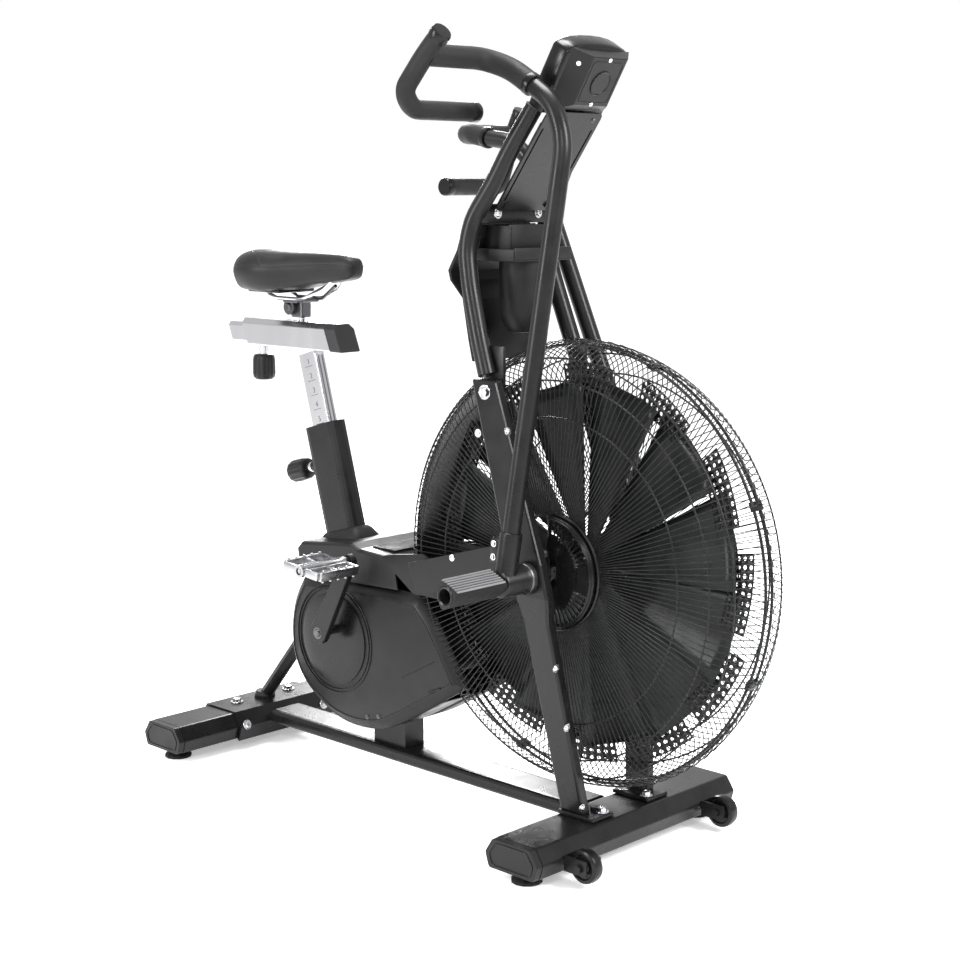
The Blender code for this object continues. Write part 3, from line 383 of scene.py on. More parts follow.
# Wind shield: a thin curved sheet inside the rider's side of the cage
bm = bmesh.new()
rows = []
for k in range(41):
    a = radians(128 + 92 * k / 40)
    rows.append([bm.verts.new(W(r * cos(a), y, AZ + r * sin(a)))
                 for r, y in ((0.3480, -0.0600), (0.3590, -0.045), (0.3640, -0.022), (0.3650, 0.0),
                              (0.3640, 0.022), (0.3590, 0.045), (0.3480, 0.0600))])
skin_into(bm, rows, closed=False)
solidify(add("wind_shield", from_bm(bm), SATIN, "base"), 0.0016)


# ---------------------------------------------------------------- fan wheel
def fan_point(angle, r, along, pitch, lift=0.0):
    u = Vector((cos(angle), 0, sin(angle)))
    t = Vector((-sin(angle), 0, cos(angle)))
    flat = along * cos(pitch) - lift * sin(pitch)
    rise = along * sin(pitch) + lift * cos(pitch)
    return W(0, 0, AZ) + u * r + t * flat + Vector((0, rise, 0))


BLADES = 12
BLADE_SHEET = 0.0014
STATIONS = ((0.024, 0.014, 16), (0.050, 0.029, 14), (0.090, 0.050, 12), (0.140, 0.076, 10),
            (0.190, 0.102, 9), (0.240, 0.128, 8.5), (0.285, 0.150, 8), (0.306, 0.158, 8))
bm = bmesh.new()
for b in range(BLADES):
    base = radians(15 + 30 * b)
    rows = []
    for r, chord, pitch in STATIONS:
        row = []
        for k in range(7):
            s = (k / 6 - 0.5) * chord
            lift = 0.010 * (1 - (2 * k / 6 - 1) ** 2) * chord / 0.12
            row.append(bm.verts.new(fan_point(base, r, s, radians(pitch), lift)))
        rows.append(row)
    skin_into(bm, rows, closed=False)
solidify(add("fan_blades", from_bm(bm), BLADE, "fan", ("fan_wheel",)), BLADE_SHEET)

# Perforated rim plates bridging the blades: a real hole in every cell
cols, rws = 9, 4
half = radians(11.0)
hole = 0.29                    # of a cell's width
square = ((0, 0), (0.5, 0), (1, 0), (1, 0.5), (1, 1), (0.5, 1), (0, 1), (0, 0.5))
bm = bmesh.new()
for b in range(BLADES):
    base = radians(30 * b)
    for i in range(cols):
        for j in range(rws):
            def at(u, v):
                a = base - half + 2 * half * (i + u) / cols
                r = 0.2930 + 0.0470 * (j + v) / rws
                tilt = 0.012 * (2 * (i + u) / cols - 1)
                return bm.verts.new(W(r * cos(a), tilt, AZ + r * sin(a)))
            outer = [at(u, v) for u, v in square]
            inner = [at(0.5 + hole * cos(t), 0.5 + hole * sin(t))
                     for t in (radians(225 + 45 * k) for k in range(8))]
            for k in range(8):
                n = (k + 1) % 8
                bm.faces.new((outer[k], outer[n], inner[n], inner[k]))
bmesh.ops.remove_doubles(bm, verts=bm.verts, dist=0.0002)
solidify(add("fan_rim_plates", from_bm(bm), SATIN, "fan"), BLADE_SHEET)

lathe("fan_hub", ((0.0087, 0.1020), (0.025, 0.1020), (0.025, 0.1008), (0.0220, 0.1005),
                  (0.0220, 0.0912), (0.025, 0.0909), (0.025, 0.0897), (0.020, 0.0895),
                  (0.020, 0.030), (0.046, 0.028), (0.046, 0.025), (0.030, 0.022),
                  (0.030, -0.022), (0.046, -0.025), (0.046, -0.028), (0.020, -0.030),
                  (0.020, -0.060), (0.0087, -0.060), (0.0087, 0.1020)),
      W(0, 0, AZ), (0, 1, 0), DARK_STEEL, "fan", steps=48)


# ---------------------------------------------------------------- hub cover with louvres
def hub_cover(side, face):
    bm = bmesh.new()
    radii = (0.0145, 0.030, 0.046, 0.058, 0.066, 0.0850, 0.0905, 0.0940)
    drop = (0.0, 0.0, 0.0, 0.0020, 0.0020, 0.0020, 0.0005, 0.0030)
    count = 84
    grid = []
    for k in range(count + 1):
        a = radians(-91 + 182 * k / count)
        grid.append([bm.verts.new(W(max(r * cos(a), -0.003), side * (face - d), AZ + r * sin(a)))
                     for r, d in zip(radii, drop)])
    for k in range(count):
        a = -91 + 182 * (k + 0.5) / count
        slot_here = 18 < abs(a) < 84 and k % 3 != 0
        for j in range(len(radii) - 1):
            if j == 4 and slot_here:
                continue
            bm.faces.new((grid[k][j], grid[k][j + 1], grid[k + 1][j + 1], grid[k + 1][j]))
    obj = add("hub_cover_" + TAG[side] + "_face", from_bm(bm), SATIN, "base",
              ("hub_cover_" + TAG[side],))
    solidify(obj, 0.0018, 1.0 if side > 0 else -1.0)
    wall = bmesh.new()
    edge = [(0.094 * cos(t), 0.094 * sin(t))
            for t in (radians(-91.8 + 183.6 * k / 60) for k in range(61))]
    low = [wall.verts.new(W(x, side * 0.0832, AZ + z)) for x, z in edge]
    high = [wall.verts.new(W(x, side * (face - 0.003), AZ + z)) for x, z in edge]
    skin_into(wall, (low, high), closed=False)
    solidify(add("hub_cover_" + TAG[side] + "_wall", from_bm(wall), SATIN, "base"), 0.0018)
    detail = bmesh.new()
    for low_c, high_c in (((0.020, -0.034), (0.026, 0.030)), ((0.034, -0.052), (0.039, -0.020)),
                          ((0.034, 0.016), (0.039, 0.052)), ((0.012, 0.036), (0.030, 0.042)),
                          ((0.012, -0.044), (0.030, -0.038)), ((0.044, -0.012), (0.062, 0.012))):
        ya, yb = sorted((side * (face - 0.001), side * (face + 0.0006)))
        box_into(detail, W(low_c[0], ya, AZ + low_c[1]), W(high_c[0], yb, AZ + high_c[1]))
    add("hub_cover_" + TAG[side] + "_ribs", from_bm(detail), SATIN, "base")


hub_cover(-1, 0.0983)
hub_cover(1, 0.1041)


# ---------------------------------------------------------------- arms, grips, pegs
ARM_LEAN = 0.117               # how far the arm tube leans in per metre of height


def A(side, x, y, z):
    """A point of an arm, given forward, outward and upward from the pivot at zero swing."""
    p = Matrix.Rotation(REST[side], 4, "Y") @ Vector((x, side * y, z))
    return p + W(0, 0, AZ)


def axis_a(side, x, y, z):
    return Matrix.Rotation(REST[side], 4, "Y") @ Vector((x, side * y, z))


def arm(side):
    tag = TAG[side]
    body = ARM[side]
    path = [A(side, 0.0, 0.200 - ARM_LEAN * 0.035, 0.035),
            A(side, 0.002, 0.200 - ARM_LEAN * 0.700, 0.700),
            A(side, -0.030, 0.1130, 0.757), A(side, -0.0795, 0.1080, 0.7824)]
    curves("arm_tube_" + tag, [rounded(path, 0.034, 12)], 0.0150, COAT, body, ("arm_" + tag,), 6)
    upper = [A(side, -0.0815, 0.1082, 0.7836), A(side, -0.125, 0.113, 0.808),
             A(side, -0.163, 0.140, 0.821), A(side, -0.163, 0.265, 0.821)]
    curves("grip_upper_" + tag, [rounded(upper, 0.030, 10)], 0.0183, FOAM, body,
           ("grip_" + tag,), 6)
    loop = [A(side, -0.1270, 0.267, 0.8565), A(side, -0.163, 0.267, 0.821),
            A(side, -0.209, 0.267, 0.764), A(side, -0.209, 0.246, 0.736),
            A(side, -0.209, 0.100, 0.736)]
    curves("grip_loop_" + tag, [rounded(loop, 0.026, 10)], 0.0158, FOAM, body, (), 6)
    bm = bmesh.new()
    for tip, before in ((loop[0], loop[1]), (loop[-1], loop[-2])):
        out = (tip - before).normalized()
        lathe_into(bm, ((0.0161, -0.016), (0.0167, -0.013), (0.0167, -0.002), (0.0150, 0.0008),
                        (0.0, 0.0012)), tip, out, 28)
    collar = upper[0]
    lathe_into(bm, ((0.0152, -0.003), (0.0188, -0.003), (0.0192, 0.0), (0.0192, 0.006),
                    (0.0186, 0.008)), collar, upper[1] - upper[0], 28)
    add("grip_caps_" + tag, from_bm(bm, True), SATIN, body)


def arm_hub(side):
    tag = TAG[side]
    body = ARM[side]
    at = W(0, 0, AZ)
    bm = bmesh.new()
    lathe_into(bm, ((0.0087, 0.2155), (0.0195, 0.2155), (0.0225, 0.2140), (0.0237, 0.2110),
                    (0.0240, 0.1680), (0.0255, 0.1640), (0.0262, 0.1610)), at, (0, side, 0), 40)
    lathe_into(bm, ((0.0145, 0.1490), (0.0125, 0.1485), (0.0125, 0.1045), (0.0087, 0.1045)),
               at, (0, side, 0), 32)
    add("arm_barrel_" + tag, from_bm(bm, True), COAT, body, ("arm_hub_" + tag,))
    lathe("arm_seal_" + tag, ((0.0262, 0.1612), (0.0270, 0.1600), (0.0272, 0.1560),
                              (0.0272, 0.1500), (0.0250, 0.1486), (0.0125, 0.1486)),
          at, (0, side, 0), DARK_STEEL, body, steps=40)
    base = A(side, 0, 0.1986, 0.012)
    top = A(side, 0, 0.1904, 0.082)
    along = top - base
    lathe("arm_sleeve_" + tag, ((0.0, 0.0), (0.0185, 0.0), (0.0187, 0.064), (0.0183, 0.0695),
                                (0.0172, 0.0704), (0.0151, 0.0704)),
          base, along, COAT, body, steps=40)
    ears = bmesh.new()
    turn = Matrix.Translation(A(side, -0.022, 0.1945, 0.050)) @ Matrix.Rotation(REST[side], 4, "Y")
    for off in (-0.0065, 0.0065):
        turned_box_into(ears, (-0.010, off - 0.0028, -0.020), (0.010, off + 0.0028, 0.020),
                        turn, 0.0015)
    add("arm_clamp_" + tag, from_bm(ears), COAT, body)
    places = [(turn @ Vector((-0.002, side * 0.0095, z)), axis_a(side, 0, 1, 0))
              for z in (-0.011, 0.011)]
    bolts("arm_clamp_bolts_" + tag, places, 0.0038, 0.0042, ZINC, body, hexa=False)
    lever = bmesh.new()
    turn = Matrix.Translation(W(0, 0, AZ)) @ Matrix.Rotation(REST[side], 4, "Y")
    n = 20
    rim = [(0.016 * cos(pi + pi * k / n), 0.016 * sin(pi + pi * k / n)) for k in range(n + 1)]
    rim += [(0.008 * cos(pi * k / n), 0.035 + 0.008 * sin(pi * k / n)) for k in range(n + 1)]
    lo = [lever.verts.new(turn @ Vector((x, side * 0.1050, z))) for x, z in rim]
    hi = [lever.verts.new(turn @ Vector((x, side * 0.1105, z))) for x, z in rim]
    skin_into(lever, (lo, hi), caps=True)
    lathe_into(lever, ((0.004, 0.1105), (0.004, 0.1195), (0.0, 0.1195)),
               turn @ Vector((0, 0, 0.035)), (0, side, 0), 16)
    add("arm_lever_" + tag, from_bm(lever, True), DARK_STEEL, body)


def peg(side):
    """Ribbed grip strip and end ring on the rubber peg."""
    tag = TAG[side]
    a = Vector((-0.021, 0, 0.028))
    b = Vector((0.032, 0, 0.004))
    along = (b - a).normalized()
    normal = Vector((-along.z, 0, along.x))
    if normal.z < 0:
        normal.negate()
    bm = bmesh.new()
    for k in range(7):
        mid = a.lerp(b, 0.20 + 0.60 * k / 6) + normal * 0.0004
        row = []
        for s, h in ((-0.0020, -0.001), (-0.0011, 0.0010), (0.0011, 0.0010), (0.0020, -0.001)):
            row.append(mid + along * s + normal * h)
        near = [bm.verts.new(W(p.x, side * 0.222, AZ + p.z)) for p in row]
        far = [bm.verts.new(W(p.x, side * 0.330, AZ + p.z)) for p in row]
        skin_into(bm, (near, far), caps=True)
    add("peg_grip_strip_" + tag, from_bm(bm, True), STRIP, "base")
    bm = bmesh.new()
    lathe_into(bm, ((0.0125, 0.3352), (0.0150, 0.3362), (0.0165, 0.3358), (0.0168, 0.3348)),
               W(0, 0, AZ), (0, side, 0), 32)
    lathe_into(bm, ((0.0, 0.3180), (0.0070, 0.3180), (0.0080, 0.3200), (0.0080, 0.3170)),
               W(0, 0, AZ), (0, side, 0), 24)
    add("peg_end_" + tag, from_bm(bm, True), SATIN, "base")


for s in (1, -1):
    arm(s)
    arm_hub(s)
    peg(s)


# ---------------------------------------------------------------- mast
def mast_line(side):
    line = ((-0.119, 0.1170, 0.7965), (-0.140, 0.113, 0.852), (-0.170, 0.105, 0.942),
            (-0.185, 0.098, 1.000), (-0.178, 0.091, 1.050), (-0.1385, 0.080, 1.1106),
            (-0.1075, 0.073, 1.1665), (-0.0645, 0.0635, 1.2323))
    return rounded([W(x, side * y, z) for x, y, z in line], 0.024, 8)


curves("mast_tubes", [mast_line(1), mast_line(-1)], 0.0155, COAT, "base", ("mast_frame",), 6)
block("mast_cross_bar", W(-0.1650, -0.088, 1.044), W(-0.1590, 0.088, 1.076), COAT, "base")
bolts("mast_bar_bolts", [(W(-0.1590, y, 1.060), (1, 0, 0)) for y in (-0.050, 0.050)],
      0.0060, 0.0050, ZINC, "base", hexa=False)
panel = Matrix.Translation(W(-0.1490, 0, 1.066)) @ Matrix.Rotation(radians(36.4), 4, "Y")
up_panel = panel.to_3x3() @ Vector((1, 0, 0))
bolts("mast_panel_bolts", [(panel @ Vector((0.0030, y, z)), up_panel)
                           for y, z in ((-0.050, 0.184), (0.050, 0.184))],
      0.0030, 0.0026, DARK_STEEL, "base", hexa=False)
for s in (1, -1):
    block("mast_foot_plate_" + TAG[s], W(-0.132, s * 0.1030 - 0.0035, 0.765),
          W(-0.092, s * 0.1030 + 0.0035, 0.845), COAT, "base", bevel=0.002)

block("mast_panel_backing", (-0.0036, -0.066, 0.010), (-0.0012, 0.066, 0.172), SATIN, "base",
      panel, 0.0008)

# Bottle holder: a dished tray over a rounded cup, braced to the mast
hx = -0.148
lathe("bottle_cup", ((0.0370, 0.9870), (0.0400, 0.9870), (0.0402, 0.9200), (0.0385, 0.8920),
                     (0.0330, 0.8720), (0.0230, 0.8610), (0.0, 0.8575), (0.0, 0.8600),
                     (0.0220, 0.8635), (0.0310, 0.8740), (0.0360, 0.8930), (0.0372, 0.9200),
                     (0.0370, 0.9870)), W(hx, 0, 0), (0, 0, 1), PLASTIC, "base",
      ("bottle_holder",), 56)
tray = bmesh.new()
box_into(tray, W(hx - 0.050, -0.072, 0.9815), W(hx - 0.0385, 0.072, 0.9865), 0.0015)
box_into(tray, W(hx + 0.0385, -0.069, 0.9815), W(hx + 0.048, 0.069, 0.9865), 0.0015)
for s in (-1, 1):
    ya, yb = sorted((s * 0.0385, s * 0.0700))
    box_into(tray, W(hx - 0.0400, ya, 0.9815), W(hx + 0.0400, yb, 0.9865), 0.0015)
    ya, yb = sorted((s * 0.0690, s * 0.0725))
    box_into(tray, W(hx - 0.048, ya, 0.9820), W(hx + 0.046, yb, 1.0020), 0.0012)
    ya, yb = sorted((s * 0.0500, s * 0.0540))
    box_into(tray, W(hx - 0.046, ya, 0.9860), W(hx + 0.022, yb, 1.0400), 0.0012)
box_into(tray, W(hx + 0.0440, -0.0700, 0.9820), W(hx + 0.0480, 0.0700, 1.0040), 0.0012)
box_into(tray, W(hx + 0.0190, -0.0560, 0.9860), W(hx + 0.0220, 0.0560, 1.0420), 0.0012)
add("bottle_tray", from_bm(tray), PLASTIC, "base")
block("bottle_backing", (-0.0015, -0.0660, 0.0), (0.0015, 0.0660, 0.0560), SATIN, "base",
      Matrix.Translation(W(-0.1930, 0, 0.9880)) @ Matrix.Rotation(radians(14), 4, "Y"), 0.0010)

# Console: a rounded case, a tapered box on its forward side with a plain round badge
face = Matrix.Translation(W(-0.0500, 0, 1.2350)) @ Matrix.Rotation(radians(31.0), 4, "Y")
normal = face.to_3x3() @ Vector((1, 0, 0))


def case_outline(grow):
    pts = [(-0.0740, -0.0075), (0.0740, -0.0075), (0.0762, 0.050), (0.0762, 0.1000)]
    arc = [(0.0762 * cos(pi * k / 10), 0.1000 + 0.0183 * sin(pi * k / 10)) for k in range(1, 10)]
    pts = pts + arc + [(-0.0762, 0.1000), (-0.0762, 0.050)]
    return [(y * (1 + grow / 0.0762), 0.0555 + (z - 0.0555) * (1 + grow / 0.060))
            for y, z in pts]


levels = ((-0.0188, -0.0045), (-0.0175, -0.0015), (-0.0145, 0.0), (0.0120, 0.0), (0.0160, -0.0012),
          (0.0180, -0.0040))
shell("console_case", [[(x, y, z) for y, z in case_outline(g)] for x, g in levels], SATIN,
      "base", face, ("console",), 50)
FRONT = 0.0433
shell("console_box", [[(x, -y, low), (x, y, low), (x, y, high), (x, -y, high)]
                      for x, y, low, high in ((0.0175, 0.0690, 0.0005, 0.1100),
                                              (FRONT - 0.0012, 0.0425, 0.0225, 0.1090),
                                              (FRONT, 0.0410, 0.0240, 0.1075))],
      PLASTIC, "base", face, (), 25)
lip = [(FRONT + 0.0002, y, z) for y, z in ((-0.036, 0.0300), (0.036, 0.0300), (0.036, 0.1010),
                                           (-0.036, 0.1010))]
loop_pts = [face @ Vector(p) for p in lip]
curves("console_box_groove", [rounded(loop_pts + loop_pts[:2], 0.008, 5)[1:-2]], 0.0006, SATIN,
       "base", res=2, closed=True)
bolts("console_screws", [(face @ Vector((FRONT, 0.0, z)), normal) for z in (0.0265, 0.1045)]
      + [(face @ Vector((0.0305, -0.0560, 0.090)), face.to_3x3() @ Vector((0.72, -0.69, 0)))],
      0.0026, 0.0022, ZINC, "base", hexa=False)
badge = face @ Vector((FRONT - 0.0004, 0, 0.0640))
lathe("console_badge", ((0.0, 0.0012), (0.0185, 0.0012), (0.0192, 0.0020), (0.0205, 0.0024),
                        (0.0215, 0.0018), (0.0218, 0.0)), badge, normal, SATIN, "base", steps=48)
block("console_lcd", (-0.0227, -0.056, 0.040), (-0.0219, 0.056, 0.082), LCD, "base", face,
      0.0003)
bm = bmesh.new()
for k in range(6):
    y = -0.050 + 0.020 * k
    box_into(bm, (-0.0232, y - 0.0065, 0.0140), (-0.0218, y + 0.0065, 0.0260), 0.0006)
bmesh.ops.transform(bm, matrix=face, verts=bm.verts)
add("console_keys", from_bm(bm), KEY, "base")

# ---------------------------------------------------------------- fork bolts, rail bolts
bolts("mast_foot_bolts", [(W(-0.1089, s * 0.1330, 0.7700), (0, s, 0)) for s in (-1, 1)],
      0.0085, 0.0075, ZINC, "base")
places = []
for x, y, z, up in ((-0.0560, 0.1345, 0.710, 0.36), (-0.0235, 0.1395, 0.625, 0.36),
                    (0.0480, 0.1290, 0.330, -0.13), (0.0605, 0.1155, 0.230, -0.13),
                    (0.0775, 0.0955, 0.092, -0.13)):
    places += [(W(x, s * y, z), (1, 0, up)) for s in (-1, 1)]
bolts("fork_screws", places, 0.0048, 0.0042, ZINC, "base", hexa=False)
bolts("fork_side_screws", [(W(-0.121, s * 0.1362, 0.7012), (0, s, 0)) for s in (-1, 1)],
      0.0048, 0.0042, ZINC, "base", hexa=False)
bolts("fork_foot_bolts", [(W(x, s * 0.058, 0.0787), (0, 0, 1)) for s in (-1, 1)
                          for x in (0.040, 0.090)], 0.0075, 0.0075, ZINC, "base")
bolts("rear_bolts", [(W(-0.869, s * 0.067, 0.0748), (0, 0, 1)) for s in (-1, 1)], 0.0085, 0.0085,
      ZINC, "base")
bolts("rear_side_bolts", [(W(-0.7955, s * 0.100, 0.050), (1, 0, 0.35)) for s in (-1, 1)], 0.0065,
      0.0060, ZINC, "base")
bolts("shroud_screws", [(W(x, s * 0.0876, z), (0, s, 0)) for s in (-1, 1)
                        for x, z in ((-0.455, 0.134), (-0.425, 0.141))], 0.0030, 0.0020,
      DARK_STEEL, "base", hexa=False)
bolts("beam_screws", [(W(-0.195, s * 0.1242, 0.478), (0, s, 0)) for s in (-1, 1)],
      0.0040, 0.0034, ZINC, "base", hexa=False)
bolts("top_cover_screw", [(W(-0.361, y, 0.4175), (0.45, 0, 0.9)) for y in (-0.070, 0.070)],
      0.0040, 0.0034, ZINC, "base", hexa=False)

# Ribbed step pad on the top cover
bm = bmesh.new()
for k in range(9):
    x = -0.474 + 0.0068 * k
    box_into(bm, W(x, -0.052, 0.4455), W(x + 0.0036, 0.052, 0.4492))
add("step_pad_ribs", from_bm(bm), RUBBER, "base")


# ---------------------------------------------------------------- shroud
SHROUD = ((-0.3225, 0.3845), (-0.480, 0.3845), (-0.6400, 0.3760), (-0.668, 0.330),
          (-0.6815, 0.280), (-0.6790, 0.222), (-0.655, 0.174), (-0.6130, 0.1405),
          (-0.562, 0.1150), (-0.508, 0.1055), (-0.452, 0.1085), (-0.400, 0.1240),
          (-0.300, 0.1790), (-0.208, 0.2345), (-0.240, 0.286), (-0.2820, 0.3460))


def smooth_ring(points, steps=4, corners=(0, 2, 13, 15)):
    """A closed curve through the points, sharp only at the listed corners."""
    n = len(points)
    pts = [Vector(p) for p in points]
    out = []
    for i in range(n):
        p0, p1, p2, p3 = pts[i - 1], pts[i], pts[(i + 1) % n], pts[(i + 2) % n]
        m1 = (p2 - p1) if i in corners else (p2 - p0) * 0.5
        m2 = (p2 - p1) if (i + 1) % n in corners else (p3 - p1) * 0.5
        for k in range(steps):
            t = k / steps
            out.append(p1 * (2 * t ** 3 - 3 * t * t + 1) + m1 * (t ** 3 - 2 * t * t + t)
                       + p2 * (3 * t * t - 2 * t ** 3) + m2 * (t ** 3 - t * t))
    return out


def inward(points, inset):
    n = len(points)
    out = []
    for i in range(n):
        a, b, c = points[i - 1], points[i], points[(i + 1) % n]
        n1 = Vector((-(b - a).y, (b - a).x)).normalized()
        n2 = Vector((-(c - b).y, (c - b).x)).normalized()
        mid = (n1 + n2).normalized()
        out.append(b + mid * inset / max(0.5, mid.dot(n1)))
    return out


CAGE_CLEAR = 0.386             # the shroud is open within this radius of the fan axle


def open_to_cage(p):
    return Vector((p.x, p.y - AZ)).length < CAGE_CLEAR


def under_top_cover(p):
    return p.y > 0.3740 and p.x < -0.32


def shroud(side):
    """One half: a rounded side wall and rim, open to the cage and under the top cover."""
    ring0 = smooth_ring(SHROUD)
    half = 0.0874
    bm = bmesh.new()
    rows = []
    for inset, y in ((0.0, 0.0), (0.0, half - 0.0170), (0.0015, half - 0.0130),
                     (0.0160, half - 0.0012), (0.0185, half)):
        pts = inward(ring0, inset) if inset else ring0
        rows.append([bm.verts.new(W(p.x, side * y, p.y)) for p in pts])
    count = len(ring0)
    for n, (a, b) in enumerate(zip(rows, rows[1:])):
        for k in range(count):
            m = (k + 1) % count
            if n == 0 and (open_to_cage(ring0[k]) or open_to_cage(ring0[m])
                           or (under_top_cover(ring0[k]) and under_top_cover(ring0[m]))):
                continue
            bm.faces.new((a[k], a[m], b[m], b[k]))
    bm.faces.new(rows[-1])
    solidify(add("shroud_shell_" + TAG[side], from_bm(bm, True), PLASTIC, "base",
                 ("shroud_" + TAG[side],), 50), 0.0022, -1.0)
    crease = [W(-0.360, side * half, 0.2275), W(-0.318, side * half, 0.2500),
              W(-0.278, side * half, 0.2715)]
    curves("shroud_crease_" + TAG[side], [crease], 0.0011, SATIN, "base", res=2)
    slot = [W(-0.290, side * half, 0.2135), W(-0.262, side * half, 0.2265)]
    curves("shroud_slot_" + TAG[side], [slot], 0.0024, SATIN, "base", res=2)
    seam_line = [W(p.x, side * (half + 0.0003), p.y) for p in inward(ring0, 0.0200)]
    curves("shroud_line_" + TAG[side], [seam_line], 0.0007, SATIN, "base", res=1, closed=True)


for s in (1, -1):
    shroud(s)

for s in (1, -1):
    # Side wall that closes the corner between the top cover and the beam cover
    outline = ((-0.330, 0.3890), (-0.412, 0.4430), (-0.392, 0.4500), (-0.304, 0.4640),
               (-0.240, 0.4400), (-0.240, 0.3880))
    shell("cover_bridge_" + TAG[s], [[(x, s * y, z) for x, z in outline]
                                     for y in (0.0845, 0.0893)], PLASTIC, "base",
          Matrix.Translation((FX, 0, 0)))


def belt_housing():
    """Rounded lid over the belt on the rider's left."""
    a = Vector((CRANK_X - FX, CRANK_Z))
    b = a.lerp(Vector((0, AZ)), 0.221 / 0.572)
    run = (b - a).normalized()
    side_v = Vector((-run.y, run.x))
    rings = []
    for shrink, y in ((0.0, 0.0862), (0.0, 0.1040), (0.0018, 0.1080), (0.0050, 0.1102),
                      (0.0090, 0.1110)):
        ring_pts = []
        for mid, start, r in ((a, pi / 2, 0.1073), (b, -pi / 2, 0.0778)):
            for k in range(25):
                t = start + pi * k / 24
                ring_pts.append(mid + (run * cos(t) + side_v * sin(t)) * (r - shrink))
        rings.append([W(p.x, y, p.y) for p in ring_pts])
    shell("belt_lid", rings, PLASTIC, "base", Matrix.Identity(4))


belt_housing()


# Flared boot where the seat tube leaves the top cover
boot = []
for z, grow in ((-0.2360, 0.0190), (-0.2220, 0.0185), (-0.2050, 0.0100), (-0.2000, 0.0050),
                (-0.1980, 0.0022)):
    ring_b = []
    for k in range(40):
        a = 2 * pi * k / 40
        cx, cy = cos(a), sin(a)
        px = (abs(cx) ** 0.45) * (1 if cx >= 0 else -1) * (0.043 + grow)
        py = (abs(cy) ** 0.45) * (1 if cy >= 0 else -1) * (0.020 + grow)
        ring_b.append((px, py, z))
    boot.append(ring_b)
solidify(shell("seat_boot", boot, RUBBER, "base", SEAT, caps=False), 0.0012)

# ---------------------------------------------------------------- crank discs
def disc(side, y0):
    at = Vector((CRANK_X - 0.005, side * y0, CRANK_Z - (0.019 if side < 0 else 0)))
    lathe("crank_disc_" + TAG[side], ((0.0, 0.0040), (0.030, 0.0042), (0.060, 0.0038),
                                      (0.082, 0.0030), (0.0865, 0.0020), (0.0868, 0.0)),
          at, (0, side, 0), SATIN, "base", steps=72)
    lines = [[at + Vector((x, side * 0.0004, z)) for x, z in circle(r, 90)]
             for r in (0.0965, 0.1030)]
    curves("crank_groove_" + TAG[side], lines, 0.0013, SATIN, "base", res=2, closed=True)


disc(-1, 0.0877)
disc(1, 0.1112)
for s in (-1, 1):
    lathe("crank_bolt_" + TAG[s], ((0.0, 0.1375), (0.0060, 0.1375), (0.0072, 0.1360),
                                   (0.0080, 0.1332), (0.0110, 0.1330), (0.0110, 0.1322)),
          Vector((CRANK_X, 0, CRANK_Z)), (0, s, 0), DARK_STEEL, "crankset", steps=32)


# ---------------------------------------------------------------- pedals
def pedal(side, turn):
    """Cast cage with toothed ends, pins and inner bars."""
    tag = TAG[side]
    body = "pedal_left" if side > 0 else "pedal_right"
    cx = CRANK_X + CRANK_LEN * cos(turn)
    cz = CRANK_Z + CRANK_LEN * sin(turn)
    at = Matrix.Translation((cx, side * 0.195, cz)) @ Matrix.Rotation(radians(6), 4, "Y")
    bm = bmesh.new()
    for sx in (-1, 1):
        box_into(bm, (sx * 0.047 - 0.0045, -0.044, -0.0085), (sx * 0.047 + 0.0045, 0.044, 0.0085),
                 0.0022, 2)
        box_into(bm, (sx * 0.0145 - 0.0030, -0.047, -0.0065),
                 (sx * 0.0145 + 0.0030, 0.047, 0.0065), 0.0015, 2)
        for sy in (-0.046, 0.0, 0.046):
            box_into(bm, (min(0, sx * 0.046), sy - 0.0035, -0.0070),
                     (max(0, sx * 0.046), sy + 0.0035, 0.0070), 0.0015, 2)
        for k in range(5):
            y = -0.036 + 0.018 * k
            for sz in (-1, 1):
                lathe_into(bm, ((0.0026, 0.0), (0.0024, 0.0030), (0.0017, 0.0036), (0.0, 0.0036)),
                           (sx * 0.047, y, sz * 0.0080), (0, 0, sz), 10)
    lathe_into(bm, ((0.0068, -0.052), (0.0118, -0.052), (0.0120, -0.045), (0.0098, -0.040),
                    (0.0098, 0.040), (0.0120, 0.045), (0.0118, 0.052), (0.0068, 0.052)),
               (0, 0, 0), (0, 1, 0), 28)
    bmesh.ops.transform(bm, matrix=at, verts=bm.verts)
    add("pedal_cage_" + tag, from_bm(bm), CAST, body, ("pedal_" + tag,))


pedal(-1, CRANK_REST)
pedal(1, CRANK_REST + pi)


# ---------------------------------------------------------------- wheels and caps
def wheel(side):
    at = W(0.161, side * 0.180, 0.0375)
    body = "wheel_left" if side > 0 else "wheel_right"
    lathe("wheel_" + TAG[side], ((0.0047, 0.0095), (0.0085, 0.0108), (0.0110, 0.0108),
                                 (0.0125, 0.0085), (0.0190, 0.0080), (0.0210, 0.0106),
                                 (0.0245, 0.0104), (0.0270, 0.0085), (0.0279, 0.0050),
                                 (0.0281, 0.0), (0.0279, -0.0050), (0.0270, -0.0085),
                                 (0.0245, -0.0104), (0.0210, -0.0106), (0.0190, -0.0080),
                                 (0.0125, -0.0085), (0.0110, -0.0108), (0.0085, -0.0108),
                                 (0.0047, -0.0095), (0.0047, 0.0095)),
          at, (0, 1, 0), SATIN, body, ("transport_wheel_" + TAG[side],), 48)


